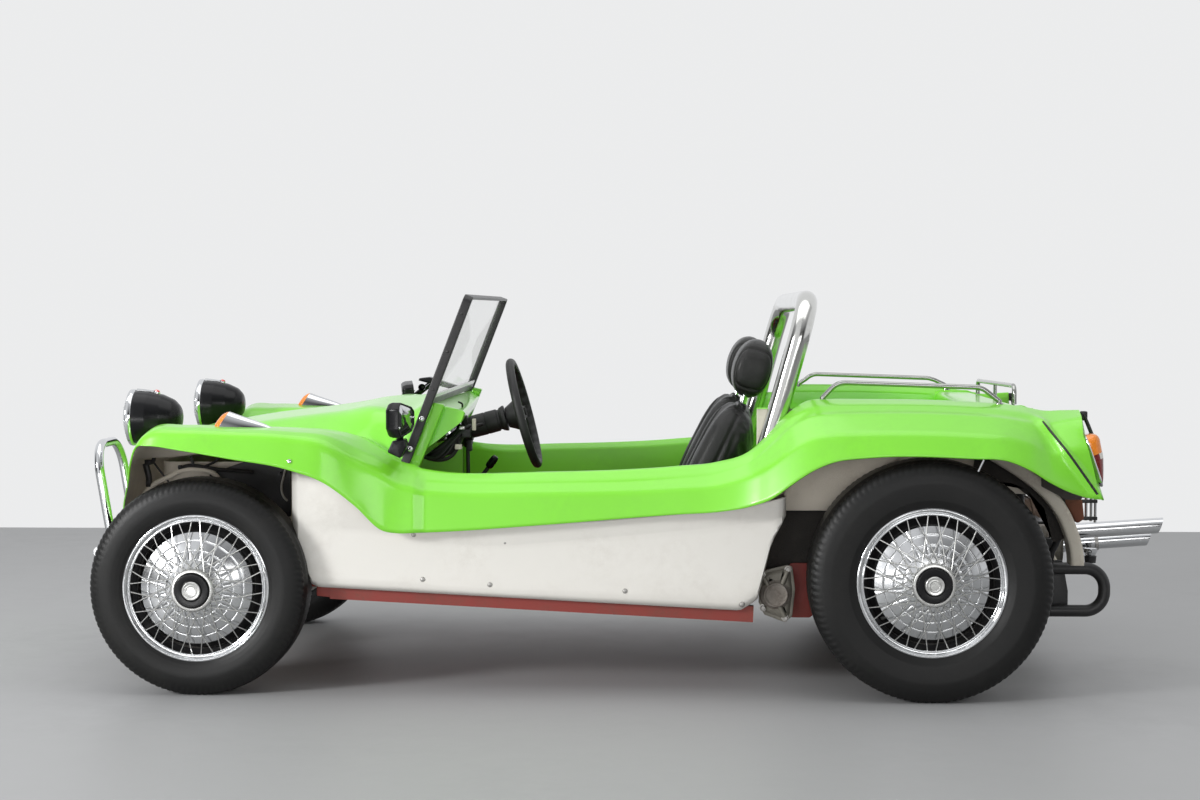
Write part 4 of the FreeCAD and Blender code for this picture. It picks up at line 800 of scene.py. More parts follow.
def spokes(pieces, centre, half, side):
    """Forty wires in crossed pairs: each lies on a line that passes the axle at 40 mm.

    From the rim to the hub ring the wire turns by the difference between the arcsines of 40 mm over each end's
    radius; it rises from the rim to the hub ring and bows outwards a little between them.
    """
    x, y, z = centre
    passing = 0.04
    t = np.linspace(0, 1, 7)
    r_out, r_in = 0.1885, 0.055
    for pair in range(SPOKE_PAIRS):
        for way in (-1, 1):
            start = pair * TURN / SPOKE_PAIRS + way * math.radians(3.5)
            sweep = math.asin(passing / r_in) - math.asin(passing / r_out)
            ends = []
            for radius, turn in ((r_out, start), (r_in, start + way * sweep)):
                ends.append((radius * math.cos(turn), radius * math.sin(turn)))
            u = ends[0][0] * (1 - t) + ends[1][0] * t
            v = ends[0][1] * (1 - t) + ends[1][1] * t
            rise = (half - 0.009) * (1 - t) + (half + 0.034) * t + 0.004 * np.sin(t * math.pi) + way * 0.0012
            path = np.stack([x + u, y + rise * side, z + v], 1)
            pieces.tube(path, WIRE_RADIUS, 6, 3)


def hub(pieces, centre, half, side):
    """Stepped hub: silver ring, black ring and a silver cap with fine turned rings."""
    x, y, z = centre
    reach = half + HUB_REACH
    ring = [(half + 0.01, 0.05), (half + 0.026, 0.06), (half + 0.04, 0.0605), (half + 0.046, 0.057),
            (half + 0.047, 0.05), (half + 0.043, 0.0485)]
    black = [(half + 0.04, 0.0485), (half + 0.05, 0.048), (half + 0.0535, 0.046), (half + 0.052, 0.03),
        (half + 0.05, 0.0265)]
    cap = [(half + 0.046, 0.0265), (reach - 0.002, 0.026), (reach, 0.0238), (reach - 0.0015, 0.018),
        (reach - 0.0006, 0.015), (reach - 0.0015, 0.012), (reach - 0.001, 0.0)]
    base = [(half - 0.004, 0.0), (half - 0.004, 0.046), (half + 0.012, 0.05)]
    for profile, pick, soft in ((ring, 3, 0.002), (black, 4, 0.0015), (cap, 3, 0.0008), (base, 3, 0.004)):
        line = rounded(profile, [soft] * (len(profile) - 2), run=1, arc=3)
        pieces.turned(line, centre, (0, side, 0), 64, pick)
    stem_r, stem_turn = 0.168, math.radians(-38)
    foot = np.array([x + stem_r * math.cos(stem_turn), y + (half - 0.05) * side, z + stem_r * math.sin(stem_turn)])
    inward = np.array([-math.cos(stem_turn) * 0.45, side, -math.sin(stem_turn) * 0.45])
    inward /= np.linalg.norm(inward)
    path = foot + inward * np.array([0, 0.012, 0.014, 0.03, 0.032, 0.042])[:, None]
    pieces.tube(path, np.array([0.005, 0.005, 0.0038, 0.0038, 0.0045, 0.0045]), 10, 3)


def brake_drum(pieces, centre, side):
    """Finned drum seen through the wheel from behind, round the brake's back plate."""
    inner = -0.03
    profile = [(inner, 0.0), (inner, 0.117)]
    for step in range(4):
        a = inner + 0.006 + step * 0.011
        profile += [(a, 0.117), (a + 0.002, 0.1225), (a + 0.006, 0.1225), (a + 0.008, 0.117)]
    profile += [(inner + 0.056, 0.113), (inner + 0.058, 0.0)]
    pieces.turned(profile, centre, (0, side, 0), 72, 5)


def road_wheel(name, x, y, z, radius, width, rim_width):
    """One wheel: its tyre, and the rim, cover, spokes, hub and drum as one piece."""
    side = 1 if y > 0 else -1
    body, centre, half = "wheel_" + name, (x, y, z), rim_width / 2
    tyre(name, body, centre, radius, width, rim_width, side)
    wheel = Pieces()
    for part in (chrome_rim, dish, spokes, hub):
        part(wheel, centre, half, side)
    brake_drum(wheel, centre, side)
    wheel.object(name + "_wire_wheel", "chrome", [CHROME, DULL_STEEL, SATIN_BLACK, SILVER, GLOSS_BLACK, CAST, DISH],
        replaces=(name + "_wheel",), body=body, merge=2e-5, outward=False, sharp=35)


for wheel_row in WHEEL_ROWS:
    road_wheel(*wheel_row)


# ---------------------------------------------------------------- lamps


def headlamp(side):
    """Deep round bowl that tapers back to a blunt end, on a post, with a chrome rim, a strip and a red jewel.

    Bowl, rim and lens are profiles (along the lamp, radius) turned about its axis.
    """
    y, z, back = side * 0.438, 0.767, 1.297
    bowl = [(0.0, 0.0), (0.0, 0.012), (0.004, 0.032), (0.022, 0.052), (0.055, 0.067), (0.095, 0.076),
            (0.126, 0.0785), (0.146, 0.0782)]
    rim = [(0.133, 0.078), (0.134, 0.0812), (0.141, 0.0834), (0.149, 0.0826), (0.151, 0.08), (0.148, 0.0775),
           (0.145, 0.077)]
    lens = [(0.146, 0.078), (0.152, 0.074), (0.159, 0.06), (0.163, 0.04), (0.165, 0.018), (0.1655, 0.0)]
    mirror = [(0.145, 0.077), (0.133, 0.07), (0.108, 0.05), (0.099, 0.02), (0.099, 0.0)]
    pieces = Pieces()
    for profile, pick, soft in ((bowl, 0, 0.03), (rim, 1, 0.003), (mirror, 1, 0.02)):
        line = rounded(profile, [soft] * (len(profile) - 2), run=2, arc=4)
        pieces.turned(line, (back, y, z), (1, 0, 0), 64, pick)
    # the strip lies on the bowl's top, with the jewel at its back end
    top = np.array([(back + 0.132, y, z + 0.0822), (back + 0.112, y, z + 0.0805), (back + 0.082, y, z + 0.0765)])
    width = np.array([[(0, -0.006, -0.0015), (0, -0.005, 0.0025), (0, 0.005, 0.0025), (0, 0.006, -0.0015)]])
    pieces.add(top[:, None] + width, 1, around=False)
    jewel_place, jewel_way = (back + 0.074, y, z + 0.0735), (-0.35, 0, 0.94)
    jewel = [(0.0, 0.0085), (0.004, 0.008), (0.007, 0.005), (0.008, 0.0)]
    pieces.turned(jewel, jewel_place, jewel_way, 16, 2)
    collar = [(-0.003, 0.0), (-0.003, 0.0105), (0.002, 0.0095), (0.003, 0.008)]
    pieces.turned(collar, jewel_place, jewel_way, 16, 1)
    post = [(0.0, 0.03), (0.004, 0.026), (0.01, 0.016), (0.028, 0.014), (0.04, 0.018)]
    pieces.turned(post, (back + 0.085, y, z - 0.098), (0, 0, 1), 24, soft=0.003, run=1, arc=3)
    pieces.object(f"headlamp_bowl_{SIDE_NAMES[side]}", "frame_black", [GLOSS_BLACK, CHROME, JEWEL],
        replaces=("headlamps",))
    # the lens: fluted by vertical ribs that fade towards its edge
    line = rounded(lens, [0.01] * 4, run=6, arc=4)
    glass_grid = revolved(line, (back, y, z), (1, 0, 0), turns=96)
    ribs = 0.0006 * np.cos((glass_grid[..., 1] - y) / 0.0105 * TURN) * np.clip(1 - line[:, 1:] / 0.074, 0, 1)
    glass_grid[..., 0] += ribs
    inner = glass_grid - np.array([0.003, 0, 0])
    cover = Pieces().add(np.concatenate([glass_grid[::-1], inner]))
    cover.object(f"headlamp_glass_{SIDE_NAMES[side]}", "glass", [LAMP_GLASS], replaces=("headlamp_lenses",))


def front_indicator(side):
    """Chrome teardrop on the wing with a slanting amber lens at its front.

    A section is the upper half of a superellipse; its height and width fall along the length as a power of
    the share still to go, and its foot keeps to the wing.
    """
    y0, front, tail, foot = side * 0.645, 1.15, 0.993, 0.75
    share = np.linspace(0, 1, 26)
    turn = np.linspace(0, math.pi, 21)

    def section(share, x_bottom, lean):
        """Half sections at these shares of the length: where their feet lie, and how far each leans back."""
        height = 0.047 * (1 - share) ** 0.62 * (1 - 0.15 * share) + 0.003
        wide = 0.027 * (1 - share) ** 0.5 + 0.003
        c, s = np.cos(turn), np.sin(turn)
        across = c * wide[:, None]
        up = np.abs(s) * height[:, None]
        x = x_bottom[:, None] - lean[:, None] * up
        return np.stack([x, y0 + across, foot - 0.006 + up * 1.02], -1)

    body_x = front - 0.007 - share * (front - 0.007 - tail)
    shell = section(share * 0.985, body_x, 0.62 * (1 - share))
    lens_share = np.linspace(0, 1, 7)
    lens_x = front + 0.012 - lens_share * 0.019
    lens = section(np.full(7, 0.0), lens_x, np.full(7, 0.62))
    puff = np.sqrt(np.clip(1 - (1 - lens_share) ** 2, 0, 1))[:, None, None]
    middle = np.array([front + 0.002, y0, foot + 0.018])
    lens = middle + (lens - middle) * (0.25 + 0.72 * puff)
    lens[..., 0] = (lens_x[:, None] - 0.62 * (lens[..., 2] - foot + 0.006))
    pieces = Pieces()
    tip = np.broadcast_to(shell[-1:].mean(1, keepdims=True), shell[-1:].shape)
    pieces.add(np.concatenate([shell, tip]))
    cap = np.broadcast_to(lens[:1].mean(1, keepdims=True), lens[:1].shape)
    pieces.add(np.concatenate([cap, lens, shell[:1]]), 1)
    pieces.object(f"front_indicator_{SIDE_NAMES[side]}", "chrome", [CHROME, AMBER], replaces=("front_indicators",),
        sharp=45)


def tail_lamp(side):
    """Tall leaning lamp on the wing's end: amber above a white line above dark red, in a thin chrome bezel.

    The dome rises as the power .42 of the way in from its edge, and less towards its foot.
    """
    corner = np.array([-1.297, side * 0.68, 0.665])
    axes = np.array([(0, 1, 0), (0.332, 0, 0.943), (-0.943, 0, 0.332)])
    wide, tall = 0.04, 0.075
    outline = round_outline(rectangle(-wide, -tall, wide, tall), 0.026, arc=7, run=6)
    bezel = ringed(outline, corner, axes, [(0.01, -0.012), (0.0, -0.002), (-0.0012, 0.0015), (0.0, 0.003),
        (0.001, 0.001)])
    t = np.linspace(0, 1, 11)
    lens = ringed(outline, corner, axes, np.stack([0.0005 + 0.03 * t**2.4, 0.001 + 0.038 * np.sin(t * math.pi / 2)], 1))
    up, out = (lens - corner) @ axes[1], (lens - corner) @ axes[2]
    lens += (out * (np.interp(up, [-0.07, -0.035, 0.0, 0.07], [0.12, 0.5, 0.8, 1.05]) - 1))[..., None] * axes[2]
    pieces = Pieces()
    pieces.add(bezel)
    pieces.add(lens, 1)
    # faces above the line are amber, the narrow band is white, and those below are red
    z = (lens[:-1, :, 2] + lens[1:, :, 2]) / 2
    z = (z + np.roll(z, -1, 1)) / 2
    pieces.picks[-1] = np.where(z > 0.686, 1, np.where(z > 0.6795, 3, 2)).reshape(-1)
    pieces.object(f"tail_lamp_{SIDE_NAMES[side]}", "red_lens", [CHROME, AMBER, RED_LENS, WHITE],
        replaces=("tail_lamps",), sharp=50)


for side in SIDES:
    headlamp(side)
    front_indicator(side)
    tail_lamp(side)


# ---------------------------------------------------------------- mirrors, windscreen and dashboard


def door_mirror(name, side, head, facing, tall, wide, foot):
    """Angular mirror head and its foot block on the windscreen's pillar.

    The head is an eight-cornered outline whose rings run forwards from the glass over its dark shell; the foot
    is a bent slab seen in side view, and its y runs outwards from the pillar.
    """
    first = np.asarray(facing, float) / np.linalg.norm(facing)
    across = np.cross((0, 0, 1.0), first)
    across /= np.linalg.norm(across)
    up = np.cross(first, across)
    w, t = wide, tall
    # the end nearer the pillar is lower than the outer end
    outer = np.sign(across[1]) * side
    corners = np.array([(-w, -t * 0.5), (-w * 0.66, -t), (w * 0.66, -t), (w, -t * 0.5), (w, t * 0.62), (w * 0.66, t),
        (-w * 0.66, t), (-w, t * 0.62)])
    corners[:, 1] *= np.where(corners[:, 0] * outer < 0, 0.7, 1.0)
    outline = round_outline(corners, 0.008, arc=4, run=2)
    pieces = Pieces()
    pieces.add(ringed(outline, head, (across, up, first), [(0.016, -0.04), (0.008, -0.0395), (0.003, -0.034),
        (0.0, -0.024), (0.0, -0.003), (0.0005, 0.0), (0.0035, 0.0005), (0.0045, -0.002)]))
    pieces.add(ringed(outline, head, (across, up, first), [(0.005, -0.004), (0.005, -0.0015), (0.006, -0.001)]), 1)
    for u, v in ((-0.9 * w * outer, 0.1 * t), (0.8 * w * outer, -0.42 * t)):
        pieces.add(bolt(np.asarray(head) + across * u + up * v, first, 0.0035, 0.003), 1)
    block = round_outline(foot, 0.005, arc=4, run=3)
    pieces.plate(block, (0, side * 0.64, 0), side_view(side), 0.058, 0.004)
    stalk = np.array([(np.mean([p[0] for p in foot]), side * 0.668, max(p[1] for p in foot) - 0.008),
        np.asarray(head) - up * t * 0.85 - first * 0.018])
    pieces.tube(stalk, 0.01, 16)
    pieces.add(bolt((foot[0][0] - 0.012, side * 0.6115, foot[0][1] - 0.03), (0, side, 0), 0.012, 0.03))
    pieces.object(name, "trim_black", [GLOSS_BLACK, CHROME], replaces=("mirrors",))


door_mirror("door_mirror_left", 1, (0.603, 0.712, 0.776), (-0.955, 0.297, 0.0), 0.05, 0.056,
    [(0.644, 0.716), (0.611, 0.722), (0.604, 0.701), (0.622, 0.667), (0.659, 0.684)])
door_mirror("door_mirror_right", -1, (0.761, -0.69, 0.8), (-0.985, -0.165, 0.1), 0.036, 0.052,
    [(0.735, 0.846), (0.7, 0.85), (0.59, 0.815), (0.59, 0.8), (0.715, 0.832), (0.738, 0.838)])


SCREEN_LEAN = math.radians(21.1)
SCREEN_UP = np.array([-math.sin(SCREEN_LEAN), 0, math.cos(SCREEN_LEAN)])
SCREEN_FORE = np.array([SCREEN_UP[2], 0, -SCREEN_UP[0]])
SCREEN_FOOT = np.array([0.617, 0.0, 0.656])
ACROSS = np.array([0.0, 1.0, 0.0])


def windscreen():
    """Channel frame, its pane, the rails at the pane's foot, and the bolts and screws down the pillars.

    The frame's rectangular section follows a path up one pillar, across and down the other. Half its depth in
    the screen's plane is 11 mm where the path climbs and 4 mm where it runs across.
    """
    axes = (ACROSS, SCREEN_UP, SCREEN_FORE)
    path = rounded([(-0.601, -0.012), (-0.601, 0.4955), (0.601, 0.4955), (0.601, -0.012)], [0.016, 0.016],
        run=[24, 40, 24], arc=6)
    way = np.gradient(path, axis=0)
    way /= np.linalg.norm(way, axis=1, keepdims=True)
    ring = round_outline(rectangle(-1, -1, 1, 1), 0.2, arc=3, run=3)
    half = 0.011 - 0.007 * way[:, :1] ** 2
    flat = path[:, None] + np.stack([-way[:, 1], way[:, 0]], 1)[:, None] * (ring[None, :, :1] * half[:, None])
    grid = (SCREEN_FOOT + flat[..., :1] * ACROSS + flat[..., 1:] * SCREEN_UP + (ring[None, :, 1:] * 0.0125)
        * SCREEN_FORE)
    ends = grid[[0, -1]].mean(1, keepdims=True) * np.ones((2, len(ring), 1))
    frame_bar = Pieces().add(np.concatenate([ends[:1], grid, ends[1:]]))
    foot_rail = round_outline(rectangle(-0.59, 0.17, 0.59, 0.192), 0.003)
    frame_bar.plate(foot_rail, SCREEN_FOOT - SCREEN_FORE * 0.009, axes, 0.018, 0.002)
    frame_bar.object("windscreen_channel", "frame_black", [SATIN_BLACK], replaces=("windscreen_frame",), sharp=35)
    pane = round_outline(rectangle(-0.5915, 0.188, 0.5915, 0.4905), 0.004)
    Pieces().plate(pane, SCREEN_FOOT - SCREEN_FORE * 0.0025, axes, 0.005, 0.001, 2).object("windscreen_pane", "glass",
        [SCREEN_GLASS], replaces=("windscreen_glass",))
    pieces = Pieces()
    for side in SIDES:
        for climb, size, pick in ((0.034, 0.0075, 0), (0.126, 0.0075, 0), (0.215, 0.004, 1), (0.33, 0.004, 1),
                (0.445, 0.004, 1)):
            place = SCREEN_FOOT + side * 0.6118 * ACROSS + SCREEN_UP * climb
            pieces.add(bolt(place, (0, side, 0), size, size * 0.6), pick)
    strip = round_outline(rectangle(-0.583, 0.19, 0.583, 0.203), 0.002)
    pieces.plate(strip, SCREEN_FOOT - SCREEN_FORE * 0.0085, axes, 0.004, 0.001, 1, pick=2)
    pieces.object("windscreen_fittings", "chrome", [CHROME, SATIN_BLACK, SILVER])


def dashboard():
    """Green moulded dash: its side-view section changes evenly from the driver's end to the slimmer far end.

    Cheek plates close both ends up to the windscreen's pillars; round instruments sit on the sloping face.
    """
    near = round_outline([(0.6, 0.655), (0.556, 0.816), (0.453, 0.792), (0.464, 0.762), (0.56, 0.688)], 0.009, arc=5,
        run=6)
    far = round_outline([(0.6, 0.655), (0.556, 0.812), (0.519, 0.788), (0.53, 0.757), (0.575, 0.69)], 0.007, arc=5,
        run=6)
    half = 0.553
    place = np.concatenate([[0.0, 0.0035], np.linspace(0.03, 0.97, 20), [0.9965, 1.0]])[:, None, None]
    line = near[None] * (1 - place) + far[None] * place
    middle = line.mean(1, keepdims=True)
    line = middle + (line - middle) * np.where((place == 0) | (place == 1), 0.96, 1.0)
    y = np.broadcast_to(half - 2 * half * place[..., 0], line.shape[:2])
    grid = np.stack([line[..., 0], y, line[..., 1]], -1)
    ends = grid[[0, -1]].mean(1, keepdims=True) * np.ones((2, grid.shape[1], 1))
    pieces = Pieces().add(np.concatenate([ends[:1], grid, ends[1:]]))
    cheek = round_outline([(0.612, 0.633), (0.541, 0.818), (0.51, 0.812), (0.583, 0.633)], 0.004, arc=3, run=4)
    for side in SIDES:
        pieces.plate(cheek, (0, side * 0.551, 0), side_view(side), 0.036, 0.004)
    for y, size in ((0.33, 0.045), (0.2, 0.026), (0.13, 0.026)):
        centre = np.array([0.527 + 0.018 * (0.33 - y), y, 0.716])
        ring = [(-0.004, size), (0.004, size), (0.006, size - 0.003), (0.003, size - 0.006)]
        dial = [(0.003, size - 0.006), (0.0025, size * 0.5), (0.0025, 0.0)]
        for profile, pick in ((ring, 1), (dial, 2)):
            pieces.turned(profile, centre, (-0.6, 0, -0.8), 32, pick)
    pieces.object("dash_moulding", "body_green", [LIME, CHROME, GLOSS_BLACK], replaces=("dashboard",), sharp=40)


def under_dash():
    """Fuse box, cables and pale plugs below the dash."""
    pieces = Pieces()
    box_line = round_outline([(0.594, 0.65), (0.508, 0.714), (0.486, 0.742), (0.474, 0.712), (0.5, 0.664),
        (0.56, 0.64)], 0.008, arc=4, run=3)
    pieces.plate(box_line, (0, 0.33, 0), side_view(1), 0.105, 0.008)
    low = round_outline([(0.59, 0.64), (0.52, 0.69), (0.5, 0.672), (0.54, 0.64)], 0.008, arc=4, run=3)
    pieces.plate(low, (0, -0.34, 0), side_view(1), 0.24, 0.008)
    cables = [
        [(0.585, 0.46, 0.655), (0.545, 0.466, 0.655), (0.51, 0.46, 0.69), (0.47, 0.45, 0.735)],
        [(0.575, 0.45, 0.65), (0.53, 0.46, 0.646), (0.5, 0.45, 0.662), (0.482, 0.44, 0.7)],
        [(0.56, 0.44, 0.648), (0.515, 0.45, 0.668), (0.48, 0.44, 0.728), (0.44, 0.4, 0.742)],
        [(0.48, 0.44, 0.74), (0.462, 0.44, 0.72), (0.446, 0.42, 0.738), (0.422, 0.38, 0.745)],
    ]
    for line in cables:
        pieces.cable(line, 0.0055, 8, 24)
    for place, size, pick in (((0.474, 0.455, 0.739), (0.016, 0.01, 0.01), 1),
            ((0.44, 0.44, 0.748), (0.011, 0.012, 0.034), 2), ((0.484, 0.455, 0.684), (0.02, 0.012, 0.015), 2),
            ((0.462, 0.45, 0.722), (0.024, 0.016, 0.022), 0)):
        pieces.box(size, place, 0.002, pick)
    pieces.object("under_dash_wiring", "trim_black", [SOFT_BLACK, SILVER, CREAM])


windscreen()
dashboard()
under_dash()


# ---------------------------------------------------------------- steering wheel, column and levers

COLUMN_FOOT = np.array([0.302, 0.33, 0.776])
COLUMN_WAY = np.array([-math.cos(math.radians(15)), 0.0, math.sin(math.radians(15))])


def steering_wheel():
    """Rim with finger waves on its back, three drilled spokes and a round hub pad, turned about the column.

    The rim's section radius is 13 mm plus a millimetre wave of the angle on the inner side.
    """
    first, across, up = frame_of(COLUMN_WAY)
    count, ring = 180, 20
    angle = np.arange(count) / count * TURN
    turn = np.arange(ring) / ring * TURN
    out = across * np.cos(angle)[:, None] + up * np.sin(angle)[:, None]
    inner = np.clip(-np.cos(turn), 0, 1)
    wave = 0.0011 * np.cos(angle * 30)[:, None] * inner[None]
    section = 0.0128 + wave
    grid = (COLUMN_FOOT + out[:, None] * (0.1545 + section * np.cos(turn))[..., None]
            + first * (section * np.sin(turn))[..., None])
    pieces = Pieces().add(grid, both=True)
    # spoke: two rails from the hub to the rim, with cross bars that leave three openings between them
    down = -up if up[2] > 0 else up
    for degrees in (0, 90, 180):
        turn_to = math.radians(degrees)
        way = across * math.cos(turn_to) + down * math.sin(turn_to)
        edge = np.cross(first, way)
        base = COLUMN_FOOT - first * 0.03
        slope = way + first * 0.19
        inner_r, outer_r, half = 0.03, 0.147, 0.017
        rail = [(inner_r, half + 0.006), (outer_r, half), (outer_r, half - 0.006), (inner_r, half - 0.004)]
        bars = [[(u, v * sign) for u, v in rail] for sign in (1, -1)]
        bars += [rectangle(at - 0.004, -half + 0.001, at + 0.006, half - 0.001) for at in (0.034, 0.066, 0.098, 0.13)]
        for bar in bars:
            outline = round_outline(bar, 0.002, arc=2, run=2)
            pieces.plate(outline, base, (slope, edge, first), 0.003, 0.0008, 2, pick=1)
    pad = [(-0.052, 0.0), (-0.052, 0.03), (-0.04, 0.036), (-0.022, 0.046), (-0.014, 0.047), (-0.006, 0.04),
           (-0.003, 0.0)]
    pieces.turned(pad, COLUMN_FOOT, first, 48, soft=0.003, run=2, arc=4)
    pieces.object("steering_wheel_rim", "trim_black", [SOFT_BLACK, SATIN_BLACK], replaces=("steering_wheel",),
        body="steering_wheel")


def steering_column():
    """Ribbed black shroud with a flange, a thinner tube to the dash, the lock, and the switch stalk."""
    first = COLUMN_WAY
    shroud = [(-0.185, 0.0), (-0.185, 0.037), (-0.166, 0.038), (-0.164, 0.03), (-0.16, 0.03), (-0.158, 0.033),
        (-0.118, 0.0335), (-0.116, 0.0318), (-0.112, 0.0335), (-0.08, 0.033), (-0.078, 0.03), (-0.073, 0.03),
        (-0.07, 0.034), (-0.06, 0.038), (-0.0555, 0.038), (-0.0545, 0.0)]
    tube = [(-0.335, 0.0), (-0.335, 0.017), (-0.186, 0.017), (-0.184, 0.0)]
    pieces = Pieces()
    pieces.turned(shroud, COLUMN_FOOT, first, 40)
    pieces.turned(tube, COLUMN_FOOT, first, 24, 1)
    for at, size, drop in ((-0.168, (0.016, 0.03, 0.034), -0.052), (-0.215, (0.022, 0.024, 0.026), 0.006),
            (-0.242, (0.014, 0.03, 0.016), -0.012)):
        centre = COLUMN_FOOT + first * at + np.array([0, 0.004, drop])
        pieces.box(size, centre, 0.003, 0 if at > -0.2 else 2)
    base = COLUMN_FOOT + first * -0.182
    stalk = np.array([base + (0.0, 0.03, 0.012), base + (0.004, 0.05, 0.04), base + (0.001, 0.062, 0.078),
        base + (0.012, 0.07, 0.083)])
    pieces.tube(rounded(stalk, [0.02, 0.008], run=4, arc=6), 0.0028, 10)
    pieces.object("steering_column_shroud", "trim_black", [SOFT_BLACK, SATIN_BLACK, SILVER],
        replaces=("steering_column",))


def hand_levers():
    """Gear lever with a ball knob and a ribbed boot, and the handbrake with its knob and slotted base."""
    x, base = FRONT_AXLE - 0.692, 0.4255
    pieces = Pieces()
    boot = [(0.0, 0.034)]
    for step in range(6):
        at, size = 0.006 + step * 0.014, 0.033 - step * 0.0038
        boot += [(at, size), (at + 0.006, size - 0.005), (at + 0.008, size - 0.005)]
    boot += [(0.094, 0.008), (0.096, 0.0)]
    pieces.turned(boot, (x, 0, base), (0, 0, 1), 32, soft=0.002, run=1, arc=2)
    pieces.tube([(x, 0, base + 0.05), (x - 0.001, 0, base + 0.14), (x, 0, base + 0.235)], 0.0062, 12, 1)
    knob = [(-0.01, 0.0), (-0.01, 0.008), (-0.004, 0.013), (0.006, 0.0175), (0.015, 0.0165), (0.023, 0.0105),
            (0.0265, 0.0)]
    pieces.turned(knob, (x, 0, 0.661), (0, 0, 1), 32, 2, soft=0.004, run=2, arc=4)
    foot = np.array([FRONT_AXLE - 0.662, 0, 0.4225])
    outline = round_outline(rectangle(-0.022, -0.009, 0.022, 0.009), 0.003)
    pieces.plate(outline, foot, PLAN_VIEW, 0.028, 0.003, pick=1)
    lever = np.array([foot + (0.0, 0, 0.02), foot + (-0.052, 0, 0.11), foot + (-0.098, 0, 0.172)])
    pieces.tube(lever, 0.0065, 12, 1)
    grip = [(-0.004, 0.0), (-0.004, 0.01), (0.004, 0.0125), (0.03, 0.012), (0.038, 0.0085), (0.04, 0.0)]
    pieces.turned(grip, foot + (-0.096, 0, 0.17), (-0.6, 0, 0.8), 24, 2, soft=0.003, run=2, arc=4)
    pieces.object("lever_pair", "trim_black", [SOFT_BLACK, SATIN_BLACK, GLOSS_BLACK], replaces=("hand_levers",))


steering_wheel()
steering_column()
hand_levers()


# ---------------------------------------------------------------- seats and headrests

SEAT_Y = 0.3
PLEATS, PLEAT_WIDTH = (-0.122, -0.062, 0.0, 0.062, 0.122), 0.0055
PLEATED = 0.15  # the pleated field ends this far from the seat's middle
VOXEL, STEPS = 0.0075, 20  # the remesh size, and the frames the cloth solver runs
PRESSURE = 4.0
SEAM_DEPTH = 0.005


def station(x, z):
    """A side-view point (metres behind the front axle, height) as (x, z)."""
    return np.array([FRONT_AXLE - x, z])


def pad_loft(spine, wide, thick, bolster, ends, count=64, around=72, powers=(0.55, 0.62)):
    """Closed form along a curved spine in side view: at each place a superellipse of width by thickness.

    Towards both ends the section shrinks as the root of one minus a power of the distance, which rounds them;
    on the front side a bolster rises where the share of the half width passes one half.
    """
    line = rounded(spine, [0.12] * (len(spine) - 2), run=6, arc=10)
    reach = np.concatenate([[0], np.cumsum(np.linalg.norm(np.diff(line, axis=0), axis=1))])
    v = 0.5 - 0.5 * np.cos(np.linspace(0, math.pi, count))
    x = np.interp(v * reach[-1], reach, line[:, 0])
    z = np.interp(v * reach[-1], reach, line[:, 1])
    way = np.stack([np.gradient(x, v), np.gradient(z, v)], 1)
    way /= np.linalg.norm(way, axis=1, keepdims=True)
    front = np.stack([way[:, 1], -way[:, 0]], 1)
    low = np.clip(1 - v / ends[0], 0, 1)
    high = np.clip(1 - (1 - v) / ends[1], 0, 1)
    size = np.sqrt(np.clip(1 - low**3.0, 0, 1)) * np.sqrt(np.clip(1 - high**3.0, 0, 1))
    t = np.linspace(0, TURN, around, endpoint=False)
    c, s = np.cos(t), np.sin(t)
    across = np.sign(c) * np.abs(c) ** powers[0]
    deep = np.sign(s) * np.abs(s) ** powers[1]
    half = np.interp(v, np.linspace(0, 1, len(wide)), wide)
    thickness = np.interp(v, np.linspace(0, 1, len(thick)), thick) / 2
    side = np.clip((np.abs(across) - 0.52) / 0.36, 0, 1)
    rise = bolster * side * side * (3 - 2 * side) * (s > 0) * np.sqrt(np.clip(s, 0, 1))
    narrow = 0.62 + 0.38 * size
    depth = (thickness * size)[:, None] * deep + size[:, None] * rise
    grid = np.empty((count, around, 3))
    grid[..., 0] = x[:, None] + front[:, :1] * depth
    grid[..., 1] = SEAT_Y + (half * narrow * np.sqrt(size))[:, None] * across
    grid[..., 2] = z[:, None] + front[:, 1:] * depth
    return grid, (np.stack([x, z], 1), front)


def local_shares(points, frame_line):
    """For each point: distance in front of the spine, across from the seat's middle, and the share along it."""
    line, front = frame_line
    near = np.argmin(((points[:, None, [0, 2]] - line[None]) ** 2).sum(-1), axis=1)
    offset = points[:, [0, 2]] - line[near]
    ahead = (offset * front[near]).sum(1)
    return ahead, points[:, 1] - SEAT_Y, near / (len(line) - 1)


def closed_form(name, grid):
    """The loft as one mesh, turned into even quads by a voxel remesh."""
    ends = [np.broadcast_to(grid[k:k + 1].mean(1, keepdims=True), grid[k:k + 1].shape) for k in (0, -1)]
    pieces = Pieces().add(np.concatenate([ends[0], grid, ends[1]]))
    rough = pieces.object(name + "_form", "seat_black", [LEATHER])
    remesh = rough.modifiers.new("even", "REMESH")
    remesh.mode, remesh.voxel_size, remesh.use_smooth_shade = "VOXEL", VOXEL, True
    graph = bpy.context.evaluated_depsgraph_get()
    mesh = bpy.data.meshes.new_from_object(rough.evaluated_get(graph))
    mesh.name = name
    bpy.data.objects.remove(rough)
    return mesh


def coordinates(mesh):
    """A mesh's points as rows of (x, y, z)."""
    flat = np.empty(len(mesh.vertices) * 3)
    mesh.vertices.foreach_get("co", flat)
    return flat.reshape(-1, 3)


